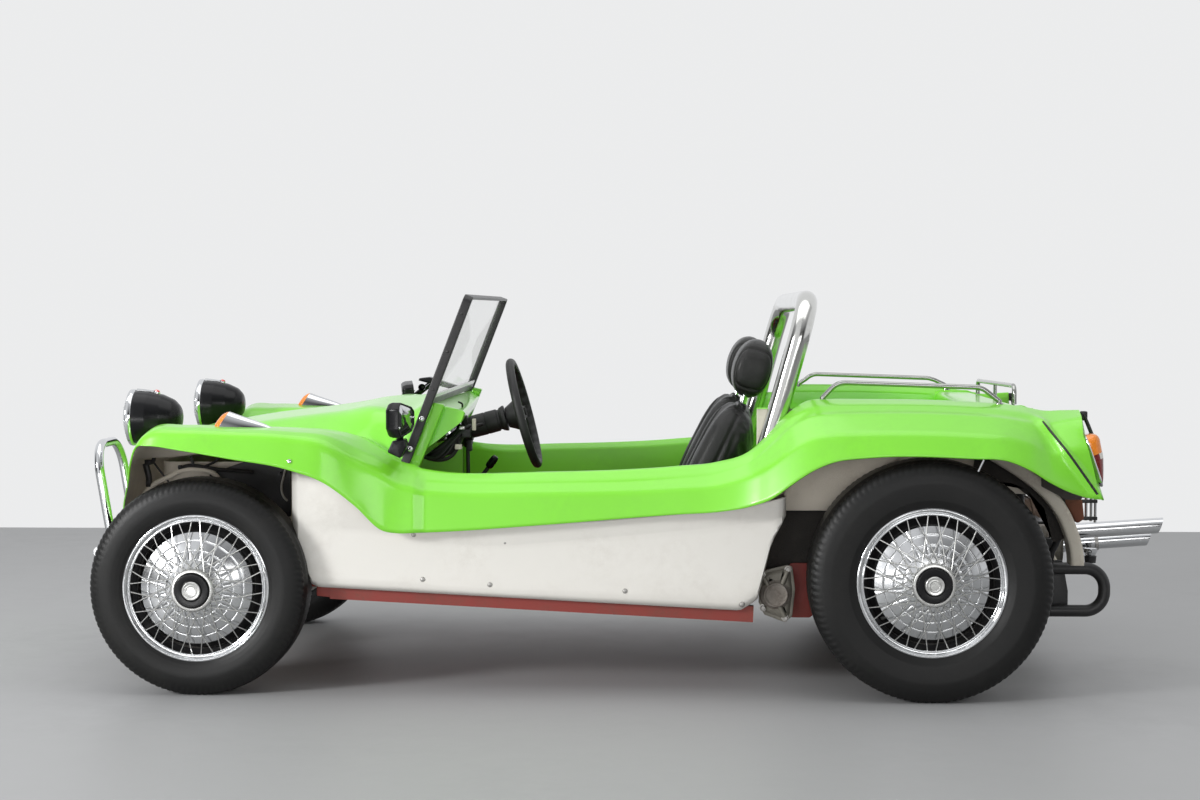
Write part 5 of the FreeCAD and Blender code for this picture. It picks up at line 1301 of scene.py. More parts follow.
def upholstered(name, grid, frame_line, seams, swell, replaces):
    """A padded piece: remeshed form, blown up by the cloth solver between its pinned seams, then sewn in.

    seams(ahead, across, share) gives how close each point is to a seam, from 0 to 1. Points past one half
    stay where they are while the pressure lifts the rest, by swell at most; after one subdivision each
    point is lowered along its normal by up to 5 mm times its closeness.
    """
    mesh = closed_form(name, grid)
    piece = bpy.data.objects.new(name, mesh)
    bpy.context.scene.collection.objects.link(piece)
    start = coordinates(mesh)
    held = np.nonzero(seams(*local_shares(start, frame_line)) > 0.5)[0]
    group = piece.vertex_groups.new(name="seams")
    group.add([int(k) for k in held], 1.0, "REPLACE")
    cloth = piece.modifiers.new("padding", "CLOTH")
    cloth.settings.vertex_group_mass = "seams"
    cloth.settings.use_pressure = True
    cloth.settings.uniform_pressure_force = PRESSURE
    cloth.settings.effector_weights.gravity = 0.0
    cloth.settings.quality = 5
    cloth.collision_settings.use_collision = False
    for number in range(1, STEPS + 1):
        bpy.context.scene.frame_set(number)
    graph = bpy.context.evaluated_depsgraph_get()
    moved = coordinates(piece.evaluated_get(graph).data) - start
    reach = np.linalg.norm(moved, axis=1, keepdims=True)
    moved *= np.minimum(reach, swell) / (reach + 1e-12)
    piece.modifiers.clear()
    bpy.context.scene.frame_set(1)
    mesh.vertices.foreach_set("co", (start + moved).reshape(-1))
    finer = piece.modifiers.new("finer", "SUBSURF")
    finer.levels = finer.render_levels = 1
    graph = bpy.context.evaluated_depsgraph_get()
    smooth = bpy.data.meshes.new_from_object(piece.evaluated_get(graph))
    piece.modifiers.clear()
    piece.data = smooth
    points = coordinates(smooth)
    normals = np.empty(len(points) * 3)
    smooth.vertices.foreach_get("normal", normals)
    close = seams(*local_shares(points, frame_line))
    points = points - normals.reshape(-1, 3) * (SEAM_DEPTH * close)[:, None]
    smooth.vertices.foreach_set("co", points.reshape(-1))
    finish_pad(piece, smooth, replaces)
    return piece


def finish_pad(piece, mesh, replaces):
    """Gives a pad its leather, its body and the nodes it stands in for."""
    mesh.materials.clear()
    mesh.materials.append(LEATHER)
    mesh.shade_smooth()
    mesh.update()
    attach(piece, "chassis")
    if replaces:
        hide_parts(*replaces)


def across_car(piece, name, replaces):
    """The same pad on the other side of the car: y changes sign and the faces are turned round."""
    mesh = piece.data.copy()
    mesh.name = name
    points = coordinates(mesh)
    points[:, 1] *= -1
    mesh.vertices.foreach_set("co", points.reshape(-1))
    mesh.flip_normals()
    other = bpy.data.objects.new(name, mesh)
    bpy.context.scene.collection.objects.link(other)
    finish_pad(other, mesh, replaces)


def near_lines(value, places, width):
    """Sum of bell curves of this width round each of the places."""
    return sum(np.exp(-(((value - place) / width) ** 2)) for place in places)


def back_seams(ahead, across, share):
    """Sewn lines: the bolster's edge and three pleats on the front, and one down the middle of each side."""
    inner = (np.abs(across) < PLEATED) * (ahead > 0.0) * np.clip((0.9 - share) / 0.05, 0, 1) * np.clip(share / 0.05,
        0, 1)
    front = inner * near_lines(across, PLEATS, PLEAT_WIDTH)
    side = (np.abs(across) > PLEATED) * near_lines(ahead, (0.012,), 0.006)
    top = (share > 0.9) * (np.abs(across) <= PLEATED) * near_lines(ahead, (0.006,), 0.006)
    cross = (ahead > 0) * (np.abs(across) < 0.125) * near_lines(share, (0.9,), 0.01)
    return np.clip(front + side + top + cross, 0, 1)


def cushion_seams(ahead, across, share):
    """The same lines on a cushion: the pleats end at a cross seam near its back."""
    inner = (np.abs(across) < PLEATED) * (ahead > 0.0) * np.clip((share - 0.14) / 0.04, 0, 1)
    front = inner * near_lines(across, PLEATS, PLEAT_WIDTH)
    side = (np.abs(across) > PLEATED) * near_lines(ahead, (0.0,), 0.006)
    cross = (ahead > 0) * (np.abs(across) < 0.125) * near_lines(share, (0.14,), 0.014)
    return np.clip(front + side + cross, 0, 1)


def headrest_seams(ahead, across, share):
    """Lines round both ends, where the end panels meet the band between them."""
    return near_lines(np.abs(across), (0.104,), 0.0035)


def seats():
    """Left back, cushion and headrest from their spines, the same across the car, and the headrests' posts."""
    back_spine = [station(1.35, 0.35), station(1.37, 0.44), station(1.478, 0.66), station(1.549, 0.804)]
    grid, line = pad_loft(back_spine, [0.185, 0.196, 0.194, 0.186, 0.176], [0.092, 0.108, 0.128, 0.124, 0.096], 0.026,
        (0.1, 0.22))
    back = upholstered("seat_back_left", grid, line, back_seams, 0.024, ("seat_left",))
    across_car(back, "seat_back_right", ("seat_right",))
    seat_spine = [station(1.345, 0.362), station(1.18, 0.352), station(1.02, 0.362), station(0.95, 0.366)]
    grid, line = pad_loft(seat_spine, [0.188, 0.196, 0.196, 0.186], [0.08, 0.094, 0.102, 0.084], 0.02, (0.12, 0.16))
    # the spine runs forwards here, so the section's front side faces up
    cushion = upholstered("seat_cushion_left", grid, line, cushion_seams, 0.024, ("seat_left",))
    across_car(cushion, "seat_cushion_right", ("seat_right",))
    rest_spine = [station(1.545, 0.824), station(1.567, 0.91), station(1.592, 0.994)]
    grid, line = pad_loft(rest_spine, [0.122, 0.124, 0.12], [0.1, 0.112, 0.096], 0.0, (0.48, 0.48), 56, 72, (0.22, 0.5))
    rest = upholstered("headrest_left", grid, line, headrest_seams, 0.01, ("headrests",))
    across_car(rest, "headrest_right", ("headrests",))
    posts = Pieces()
    for side in SIDES:
        for offset in (-0.06, 0.06):
            y = side * (SEAT_Y + offset)
            foot, top = station(1.53, 0.778), station(1.552, 0.862)
            posts.tube([(foot[0], y, foot[1]), (top[0], y, top[1])], 0.0055, 16)
            posts.turned([(0.0, 0.0), (0.0, 0.011), (0.006, 0.009), (0.007, 0.0)],
                (foot[0] - 0.006, y, foot[1] + 0.024), (-0.25, 0, 0.97), 16, 1)
    posts.object("headrest_posts", "chrome", [CHROME, SOFT_BLACK], replaces=("headrests",))


seats()


# ---------------------------------------------------------------- engine


def engine():
    """Flat air-cooled engine: crankcase, finned barrels, rocker covers, fan shroud, pulleys and pipes."""
    pieces = Pieces()
    rearwards = ((0, 1, 0), (0, 0, 1), (-1, 0, 0))

    def block(corners, front, depth, edge, pick):
        """A plate square to the crankshaft, drawn (y, z) and running rearwards from this x."""
        line = round_outline(corners, 0.02, arc=5, run=4)
        pieces.plate(line, (front, 0, 0), rearwards, depth, edge, pick=pick)

    def turned(profile, centre, axis, pick, turns=40):
        """A round part of the engine with its own axis."""
        pieces.turned(profile, centre, axis, turns, pick)

    case = [(-0.075, 0.237), (0.075, 0.237), (0.12, 0.3), (0.13, 0.38), (0.11, 0.47), (0.06, 0.5),
            (-0.06, 0.5), (-0.11, 0.47), (-0.13, 0.38), (-0.12, 0.3)]
    block(case, -0.966, 0.295, 0.008, 0)
    for x in (-1.01, -1.09, -1.17, -1.235):
        wide = [(y * 1.03, 0.368 + (z - 0.368) * 1.02) for y, z in case]
        block(wide, x, 0.008, 0.002, 0)
    for side in SIDES:
        for x in (-1.075, -1.19):
            # eleven fins: the radius steps between 40 and 56 mm
            profile = [(0.0, 0.0), (0.0, 0.046)]
            for fin in range(11):
                at = 0.006 + fin * 0.0155
                profile += [(at, 0.04), (at + 0.001, 0.055), (at + 0.004, 0.056), (at + 0.005, 0.04)]
            profile += [(0.185, 0.044), (0.186, 0.0)]
            turned(profile, (x, side * 0.124, 0.385), (0, side, 0), 1, 28)
        for x in (-1.075, -1.19):
            pieces.box((0.106, 0.052, 0.13), (x, side * 0.326, 0.385), 0.01, 1)
        pieces.box((0.236, 0.024, 0.088), (-1.132, side * 0.362, 0.372), 0.009, 2)
        pieces.box((0.222, 0.19, 0.01), (-1.132, side * 0.215, 0.452), 0.003, 2)
        pipe = np.array([(-1.24, side * 0.325, 0.33), (-1.262, side * 0.3, 0.29), (-1.262, side * 0.22, 0.27),
            (-1.255, side * 0.15, 0.262)])
        pieces.tube(rounded(pipe, [0.03, 0.03], run=4, arc=8), 0.0175, 20, 4)
    shroud = [(-0.24, 0.5), (0.24, 0.5), (0.24, 0.56), (0.15, 0.612), (0.11, 0.672), (0.06, 0.689), (-0.06, 0.689),
        (-0.11, 0.672), (-0.15, 0.612), (-0.24, 0.56)]
    block(shroud, -1.068, 0.122, 0.014, 3)
    turned([(0.0, 0.0), (0.0, 0.052), (0.006, 0.06), (0.052, 0.06), (0.06, 0.052), (0.062, 0.02), (0.07, 0.018),
            (0.072, 0.0)], (-1.188, 0, 0.6), (-1, 0, 0), 3)
    turned([(0.0, 0.0), (0.0, 0.052), (0.004, 0.054), (0.01, 0.046), (0.016, 0.054), (0.02, 0.052), (0.022, 0.018),
            (0.028, 0.014), (0.029, 0.0)], (-1.26, 0, 0.6), (-1, 0, 0), 4, 48)
    turned([(0.0, 0.0), (0.0, 0.08), (0.004, 0.082), (0.01, 0.072), (0.016, 0.082), (0.02, 0.08), (0.022, 0.024),
            (0.027, 0.02), (0.0275, 0.0)], (-1.261, 0, 0.345), (-1, 0, 0), 4, 48)
    # the belt is the closed convex line round both pulleys
    angle = np.linspace(0, TURN, 60, endpoint=False)
    upper = np.cos(angle) > 0
    belt = np.stack([np.full(60, -1.27), np.sin(angle) * np.where(upper, 0.048, 0.074),
        np.where(upper, 0.6, 0.345) + np.cos(angle) * np.where(upper, 0.048, 0.074)], 1)
    pieces.add(swept(belt, 0.0055, sides=8, closed=True), 3)
    # carburettor and its round filter ahead of the fan, the coil and the distributor beside them
    turned([(0.0, 0.0), (0.0, 0.07), (0.006, 0.078), (0.04, 0.078), (0.046, 0.07), (0.048, 0.0)], (-1.015, 0.0, 0.59),
           (0, 0, 1), 3)
    turned([(0.0, 0.0), (0.0, 0.03), (0.06, 0.026), (0.092, 0.03), (0.093, 0.0)], (-1.015, 0.0, 0.498), (0, 0, 1), 1)
    turned([(0.0, 0.0), (0.0, 0.024), (0.03, 0.026), (0.034, 0.036), (0.06, 0.03), (0.066, 0.0)],
           (-1.225, -0.095, 0.498), (0, 0, 1), 5)
    for way in (-1, 1):
        lead = [(-1.225, -0.095 + way * 0.012, 0.56), (-1.22, -0.1 + way * 0.06, 0.58), (-1.19, way * 0.2, 0.52),
            (-1.19, way * 0.24, 0.44)]
        pieces.cable(lead, 0.004, 8, 24, 3)
    pieces.object("engine_assembly", "alloy", [OILED, CAST, SATIN_BLACK, GLOSS_BLACK, DULL_STEEL, UNDERSEAL],
        replaces=("engine",), sharp=40)


def tail_bracket(side):
    """Rusty stay between the frame and the wing's end with three bright studs, and a hose beside it."""
    pieces = Pieces()
    line = round_outline([(-1.236, 0.562), (-1.262, 0.574), (-1.306, 0.54), (-1.312, 0.486), (-1.29, 0.47),
        (-1.27, 0.505)], 0.01, arc=4, run=4)
    pieces.plate(line, (0, side * 0.47, 0), side_view(side), 0.05, 0.008)
    for x, low, high in ((-1.32, 0.48, 0.56), (-1.334, 0.478, 0.552), (-1.346, 0.474, 0.545)):
        pieces.tube([(x, side * 0.495, low), (x, side * 0.495, high)], 0.0042, 10, 1)
    for low in (0.486, 0.535):
        pieces.box((0.06, 0.012, 0.01), (-1.322, side * 0.495, low), 0.002, 2)
    hose = [(-1.2, side * 0.47, 0.6), (-1.235, side * 0.47, 0.59), (-1.262, side * 0.47, 0.56),
        (-1.275, side * 0.46, 0.5), (-1.262, side * 0.44, 0.44)]
    pieces.cable(hose, 0.011, 12, 30, 2)
    arm = np.array([(-1.262, side * 0.44, 0.44), (-1.24, side * 0.41, 0.38), (-1.236, side * 0.39, 0.34)])
    pieces.tube(arm, 0.01, 12, 2)
    pieces.object(f"tail_bracket_{SIDE_NAMES[side]}", "frame_black", [RUST, CHROME, SATIN_BLACK])


def arch_back_plate(side):
    """Dark undersealed plate on the rear arch's inner wall, just inside the tyre."""
    line = round_outline([(-0.985, 0.6), (-1.0, 0.705), (-1.18, 0.7), (-1.245, 0.585), (-1.262, 0.44), (-1.215, 0.42),
        (-1.19, 0.52), (-1.1, 0.59)], 0.012, arc=4, run=6)
    plate = Pieces().plate(line, (0, side * 0.551, 0), side_view(side), 0.004, 0.001, 1)
    tail = round_outline([(-1.165, 0.632), (-1.235, 0.606), (-1.272, 0.59), (-1.28, 0.553), (-1.235, 0.553),
        (-1.165, 0.59)], 0.006, arc=3, run=4)
    plate.plate(tail, (0, side * 0.646, 0), side_view(side), 0.003, 0.001, 1)
    plate.object(f"arch_back_plate_{SIDE_NAMES[side]}", "frame_black", [UNDERSEAL])


engine()
for side in SIDES:
    tail_bracket(side)
    arch_back_plate(side)


# ---------------------------------------------------------------- front bulkhead and the fittings in the arch


def front_bulkhead():
    """Open luggage tray between the front wheels and the toe board, green towards the cockpit."""
    pieces = Pieces()
    tray = round_outline(rectangle(0.839, -0.37, 1.379, 0.37), 0.04, arc=8, run=10)
    pieces.add(ringed(tray, (0, 0, 0), PLAN_VIEW, [(0.06, 0.43), (0.012, 0.432), (0.002, 0.44), (0.0, 0.46),
        (0.0, 0.626), (0.0, 0.632), (0.004, 0.632), (0.004, 0.46), (0.012, 0.44), (0.06, 0.436)]), 1)
    board = round_outline(rectangle(-0.54, 0.3, 0.54, 0.64), 0.02, arc=4, run=8)
    for x, pick in ((0.833, 0), (0.836, 1)):
        pieces.plate(board, (x, 0, 0), ((0, 1, 0), (0, 0, 1), (1, 0, 0)), 0.003, 0.0005, 1, pick=pick)
    # the footwell's side walls run from the toe board back to the moulding's inner walls
    wall = round_outline([(0.0, 0.3), (0.262, 0.3), (0.262, 0.618), (0.0, 0.64)], 0.008, arc=3, run=12)
    way = np.array([0.2487, -0.0532, 0.0])
    way /= np.linalg.norm(way)
    for side in SIDES:
        axes = (way * (1, side, 1), (0, 0, 1), np.array([-way[1], way[0], 0]) * (1, side, 1))
        pieces.plate(wall, (0.58, side * 0.5935, 0), axes, 0.003, 0.001, 1)
    pieces.object("front_bulkhead", "body_green", [LIME, CREAM], replaces=("front_tub",), sharp=40)


def arch_fittings(side):
    """Bracket link, hose, cables and a dark panel on the tray's side, clear of the steered tyre. The dark panel
    is painted shade: a black plate on the tray's cream wall where it lies in shadow behind the tyre.
    """
    pieces = Pieces()
    # painted shade: this black plate darkens the tray's side wall, which lies in shadow
    panel = round_outline([(1.24, 0.594), (1.129, 0.633), (0.99, 0.633), (0.99, 0.47), (1.05, 0.47)], 0.006)
    pieces.plate(panel, (0, side * 0.371, 0), side_view(side), 0.008, 0.002)
    for points, radius, pick in (([(1.388, 0.668), (1.393, 0.64), (1.4, 0.632)], 0.0065, 0),
            ([(1.417, 0.629), (1.413, 0.612), (1.408, 0.59), (1.407, 0.56)], 0.0095, 0),
            ([(1.394, 0.633), (1.374, 0.607), (1.355, 0.582), (1.33, 0.55)], 0.0028, 0),
            ([(1.43, 0.52), (1.397, 0.564), (1.343, 0.592), (1.305, 0.609), (1.238, 0.609), (1.205, 0.59),
            (1.19, 0.55)], 0.0075, 1), ([(1.26, 0.612), (1.247, 0.618), (1.215, 0.632), (1.2, 0.646)], 0.0038, 0),
            ([(1.318, 0.612), (1.29, 0.622), (1.262, 0.621), (1.2, 0.612), (1.1, 0.604)], 0.006, 0),
            ([(1.282, 0.652), (1.279, 0.64), (1.274, 0.622)], 0.0042, 0),
            ([(1.001, 0.616), (1.008, 0.59), (1.014, 0.562), (1.01, 0.536), (0.996, 0.52)], 0.0034, 2)):
        line = np.array([(x, side * 0.4, z) for x, z in points])
        pieces.cable(line, radius, 10, 8 * len(points), pick)
    for x, z, size in ((1.409, 0.632, 0.018), (1.408, 0.575, 0.014), (1.314, 0.62, 0.01)):
        pieces.box((size, 0.02, size * 0.8), (x, side * 0.4, z), 0.002)
    # short brackets carry the fittings from the tray's side
    for x, z in ((1.36, 0.59), (1.23, 0.612), (1.02, 0.6)):
        pieces.tube([(x, side * 0.366, z), (x, side * 0.404, z)], 0.004, 10)
    pieces.object(f"front_arch_fittings_{SIDE_NAMES[side]}", "trim_black", [SATIN_BLACK, CREAM, DULL_STEEL])


def sill_end(side):
    """Front end of the pan's red sill, which shows between the side panel and the front wheel."""
    strip = round_outline([(0.79, 0.262), (0.872, 0.27), (0.872, 0.297), (0.79, 0.3)], 0.003, arc=3, run=3)
    Pieces().plate(strip, (0, side * 0.604, 0), side_view(side), 0.02, 0.002).object(f"sill_end_{SIDE_NAMES[side]}",
        "pan_red", [RED])


front_bulkhead()
for side in SIDES:
    sill_end(side)
    arch_fittings(side)


# ---------------------------------------------------------------- sills, arches and the rear tub


def side_panel(side):
    """Pressed panel under the sill: flat below a fold line, leaning outwards above it, rolled in at its ends.

    Rows run from the bottom edge over the fold to the top; columns run rearwards. The top row stays hidden
    behind the body's lip.
    """
    at = np.array([0.284, 0.3, 0.42, 0.579, 0.678, 0.862, 1.13, 1.382, 1.536, 1.606, 1.648])
    fold = np.array([0.47, 0.469, 0.463, 0.456, 0.424, 0.417, 0.441, 0.465, 0.482, 0.492, 0.505])
    columns = np.concatenate([np.linspace(0.259, 1.36, 60), np.linspace(1.37, 1.648, 26)])
    low_end = np.interp(columns, [0.259, 0.285, 0.318, 1.523, 1.569, 1.608, 1.648],
        [0.48, 0.38, 0.301, 0.239, 0.268, 0.43, 0.5])
    fold_z = np.maximum(np.interp(columns, at, fold), low_end + 0.003)
    top_z = np.interp(columns, [0.259, 0.42, 0.579, 0.678, 0.8, 1.13, 1.4, 1.55, 1.648],
        [0.628, 0.59, 0.52, 0.472, 0.47, 0.492, 0.515, 0.535, 0.56])
    share = np.concatenate([np.linspace(0, 1, 12), 1 + np.linspace(0.06, 1, 10)])[:, None]
    lower = np.clip(share, 0, 1)
    upper = np.clip(share - 1, 0, 1)
    z = low_end + (fold_z - low_end) * lower + (top_z - fold_z) * upper
    lean = 0.26 * (z - fold_z) * (upper > 0) * np.clip((columns - 0.3) / 0.1, 0, 1)
    roll_end = np.clip((columns - 1.628) / 0.02, 0, 1) + np.clip((0.274 - columns) / 0.014, 0, 1)
    roll_foot = np.clip(1 - (z - low_end) / 0.01, 0, 1)
    y = 0.648 + lean - 0.016 * np.clip(roll_end, 0, 1) ** 2 - 0.008 * roll_foot**2
    slant = np.interp(z, [0.239, 0.268, 0.43, 0.505], [1.523, 1.569, 1.608, 1.648])
    x = np.minimum(np.broadcast_to(columns, z.shape), np.where(columns > 1.5, np.maximum(slant, 1.5), columns))
    grid = np.stack([FRONT_AXLE - x, y * side, z], -1)
    pieces = Pieces().add(grid, around=False, flip=side < 0)
    screws = [(0.604, 0.449), (0.862, 0.429), (0.629, 0.322), (0.819, 0.308), (1.2, 0.292), (1.528, 0.256)]
    for place, height in screws:
        pieces.add(bolt((FRONT_AXLE - place, 0.648 * side, height), (0, side, 0), 0.0045, 0.003), 1)
    pieces.object(f"sill_panel_{SIDE_NAMES[side]}", "panel_white", [WHITE, DULL_STEEL],
        replaces=(f"side_panel_{SIDE_NAMES[side]}",), outward=False, shell=SHEET)


def rear_tub():
    """One green moulding behind the cockpit: front wall, floor, rear wall and deck, with a wall each side.

    The height is the smooth maximum of a side-view profile and a wall that rises with the distance from the
    middle, and the sheet's other side is stained cream. Two flat skirts hang from each side down to the frame:
    a cream one above, and below it a black undersealed one that is painted shade: it closes the opening into
    the car, whose inside lies in shadow.
    """
    profile = [(1.572, 0.33), (1.608, 0.6), (2.215, 0.6), (2.215, 0.808), (2.33, 0.806), (2.352, 0.745)]
    line = rounded(profile, [0.03, 0.025, 0.02, 0.02], run=[8, 14, 8, 6, 4], arc=6)
    wall = rounded([(0.0, 0.0), (0.5, 0.02), (0.531, 0.4), (0.545, 0.8), (0.551, 0.804)], [0.01, 0.3, 0.004],
        run=[10, 8, 22, 2], arc=5)
    across = np.concatenate([-wall[::-1, 0], wall[1:, 0]])
    rise = np.concatenate([wall[::-1, 1], wall[1:, 1]])
    soft = 0.01
    z = soft * np.logaddexp(line[:, None, 1] / soft, rise[None] / soft)
    grid = np.stack(np.broadcast_arrays(FRONT_AXLE - line[:, :1], across[None], np.minimum(z, 0.812)), -1)
    pieces = Pieces().add(grid, around=False, flip=True)
    for side in SIDES:
        # the lower skirt is painted shade: a black undersealed sheet across the opening, whose inside lies in shadow
        for low, high, pick in ((0.345, 0.513, 2), (0.513, 0.79, 1)):
            end = 1.82 if pick == 2 else 2.27
            x, z = np.meshgrid(FRONT_AXLE - np.linspace(1.592, end, 30), np.linspace(low, high, 8), indexing="ij")
            start = np.interp(z, [0.345, 0.43, 0.513], [1.592, 1.612, 1.65])
            x = np.minimum(x, FRONT_AXLE - start)
            curl = np.zeros_like(z)
            if pick == 1:
                back = FRONT_AXLE - x
                z = np.minimum(z, np.interp(back, [1.6, 1.66, 1.76, 1.9], [0.56, 0.59, 0.69, 0.79]))
                z = np.maximum(z, 0.513 + 0.17 * np.clip((back - 1.8) / 0.2, 0, 1))
                curl = 0.01 * np.clip(1 - (z - 0.513) / 0.012, 0, 1) ** 2
            sheet = np.stack([x, side * (0.557 + curl), z], -1)
            pieces.add(sheet, pick, around=False, flip=side < 0)
    pieces.object("rear_tub_moulding", "body_green", [LIME, CREAM, UNDERSEAL, RUSTY_CREAM], replaces=("rear_tub",),
        outward=False, shell=SHEET, inner=3)


def rear_arch(side):
    """Strip behind the wheel: an L section carried down a curved line, its flange facing outwards."""
    points = np.array([(2.2, 0.712), (2.33, 0.632), (2.399, 0.575), (2.441, 0.52), (2.466, 0.465), (2.481, 0.416),
        (2.486, 0.363)])
    path = hermite_rows(np.arange(7.0), points, np.linspace(0, 6, 60))
    way = np.gradient(path, axis=0)
    way /= np.linalg.norm(way, axis=1, keepdims=True)
    out = np.stack([-way[:, 1], way[:, 0]], 1)
    section = rounded([(-0.028, 0.535), (-0.028, 0.6), (0.0, 0.604), (0.002, 0.59)], [0.006, 0.004], run=[6, 3, 1],
        arc=5)
    spot = path[:, None] + out[:, None] * section[None, :, :1]
    grid = np.stack([FRONT_AXLE - spot[..., 0], np.broadcast_to(section[:, 1] * side, spot.shape[:2]), spot[..., 1]],
        -1)
    Pieces().add(grid, around=False, flip=side > 0).object(f"rear_arch_strip_{SIDE_NAMES[side]}", "panel_white",
        [RUSTY_CREAM], replaces=("rear_arch_liners",), outward=False, shell=SHEET)


def pod_line():
    """The joint's side-view line laid on the skin: y is the mean of the skin's points near each place."""
    share = np.linspace(0, 1, 40)[:, None]
    flat = np.array([-1.163, 0.772]) * (1 - share) + np.array([-1.302, 0.577]) * share
    skin = SKIN[SKIN[:, 1] > 0.6]
    gap = ((flat[:, None] - skin[None, :, ::2]) ** 2).sum(-1)
    weight = np.exp(-gap / 0.005**2) + 1e-30
    y = (weight * skin[:, 1]).sum(1) / weight.sum(1)
    return np.stack([flat[:, 0], y - 0.0005, flat[:, 1]], 1)


def wing_joint(side):
    """Dark joint line that parts the lamp pod from the wing, lying half sunk in the skin: painted shade, a black
    tube that stands in for the shadow in the V groove between them.
    """
    pieces = Pieces()
    # painted shade: the black tube draws the groove's shadow as a crisp dark line
    pieces.tube(pod_line() * (1, side, 1), 0.0036, 8)
    # wiring above the lamp
    pieces.box((0.018, 0.022, 0.026), (-1.286, side * 0.62, 0.786), 0.003)
    for offset in (-0.012, 0.014):
        cable = [(-1.284, side * (0.62 + offset), 0.79), (-1.292, side * (0.626 + offset), 0.772),
            (-1.298, side * (0.64 + offset), 0.752), (-1.304, side * (0.66 + offset), 0.728)]
        pieces.cable(cable, 0.0034, 8, 16)
    pieces.tube([(-0.985, side * 0.786, 0.674), (-0.97, side * 0.786, 0.642)], 0.003, 8, 1)
    pieces.add(bolt((FRONT_AXLE - 0.269, side * 0.7405, 0.662), (0, side, 0.2), 0.006, 0.004), 1)
    pieces.object(f"wing_joint_{SIDE_NAMES[side]}", "trim_black", [SOFT_BLACK, CHROME])


def torsion_cover(side):
    """Pressed cover over the end of the torsion bar, and the spring plate that runs back to the axle."""
    axes = side_view(side)
    cover = [(-0.385, 0.335), (-0.406, 0.348), (-0.463, 0.362), (-0.477, 0.357), (-0.485, 0.293), (-0.477, 0.217),
        (-0.458, 0.198), (-0.397, 0.221), (-0.382, 0.255)]
    pieces = Pieces()
    outline = round_outline(cover, 0.008, arc=4, run=4)
    pieces.add(ringed(outline, (0, side * 0.6, 0), axes, [(0.004, -0.003), (0.0, -0.002), (0.0, 0.004),
        (0.002, 0.005), (0.008, 0.004), (0.013, 0.008), (0.019, 0.011), (0.027, 0.0115)]))
    boss = [(0.004, 0.046), (0.01, 0.043), (0.016, 0.036), (0.0215, 0.034), (0.0225, 0.031), (0.0195, 0.027),
            (0.0195, 0.0)]
    pieces.turned(boss, (-0.43, side * 0.6, 0.278), (0, side, 0), 48, 1, soft=0.003, run=2, arc=3)
    for start, end in (((-0.445, 0.3), (-0.463, 0.345)), ((-0.414, 0.297), (-0.392, 0.33)),
            ((-0.437, 0.252), (-0.456, 0.215))):
        pieces.tube([(start[0], side * 0.6105, start[1]), (end[0], side * 0.6075, end[1])], 0.008, 14)
    for x, z in ((-0.464, 0.349), (-0.457, 0.211), (-0.394, 0.24), (-0.393, 0.331)):
        pieces.turned([(0.0, 0.011), (0.0015, 0.011), (0.002, 0.0075), (0.008, 0.0075), (0.0095, 0.006),
            (0.0095, 0.0)], (x, side * 0.6045, z), (0, side, 0), 6, 2)
    arm = [(-0.392, 0.262), (-0.392, 0.306), (-0.43, 0.322), (-0.6, 0.338), (-0.8, 0.374), (-0.905, 0.382),
           (-0.91, 0.296), (-0.8, 0.288), (-0.6, 0.262), (-0.43, 0.244)]
    pieces.plate(round_outline(arm, 0.018, arc=4, run=4), (0, side * 0.546, 0), axes, 0.006, 0.001, 2, pick=3)
    pieces.turned([(0.552, 0.04), (0.56, 0.044), (0.59, 0.044), (0.601, 0.04)], (-0.431, 0, 0.282), (0, side, 0), 32, 3)
    for x, z in ((-0.805, 0.352), (-0.805, 0.312), (-0.89, 0.356), (-0.89, 0.316)):
        pieces.add(bolt((x, side * 0.552, z), (0, side, 0), 0.009, 0.008), 2)
    horn = [(-0.47, 0.206), (-0.47, 0.362), (-0.545, 0.362), (-0.575, 0.33), (-0.575, 0.25), (-0.53, 0.206)]
    pieces.plate(round_outline(horn, 0.01, arc=3, run=3), (0, side * 0.5535, 0), axes, 0.01, 0.002, 2, pick=4)
    pieces.object(f"spring_plate_cover_{SIDE_NAMES[side]}", "steel", [GRIMY, CAST, DULL_STEEL, SATIN_BLACK, RED],
        replaces=("rear_spring_plates",), sharp=40)


def slashed_pipe(pieces, path, radius, slant, pick):
    """Pipe along a path, cut at a slant, with its bore going back inside: rings of one tube, the last sheared."""
    path = np.asarray(path, float)
    outer = swept(path, radius, sides=40, caps=False)
    way = (path[-1] - path[-2]) / np.linalg.norm(path[-1] - path[-2])

    def ring(back, size, cut):
        """A ring so far back along the pipe, of this size, sheared by this share of the slant."""
        centre = path[-1] - way * back
        shape = path[-1] + (outer[-1] - path[-1]) * (size / radius)
        return shape + (centre - path[-1]) + way * ((shape[:, 2:] - path[-1][2]) * slant * cut)

    rows = [ring(0.0, radius, 1.0), ring(0.0, radius - 0.0018, 1.0), ring(0.14, radius - 0.0018, 0.0),
            ring(0.14, 0.0005, 0.0)]
    foot = np.broadcast_to(path[:1, None], (1, 40, 3))
    pieces.add(np.concatenate([foot, outer[:-1], np.stack(rows[:1])]), pick)
    pieces.add(np.stack(rows[:2]), pick)
    pieces.add(np.stack(rows[1:]), pick + 1)


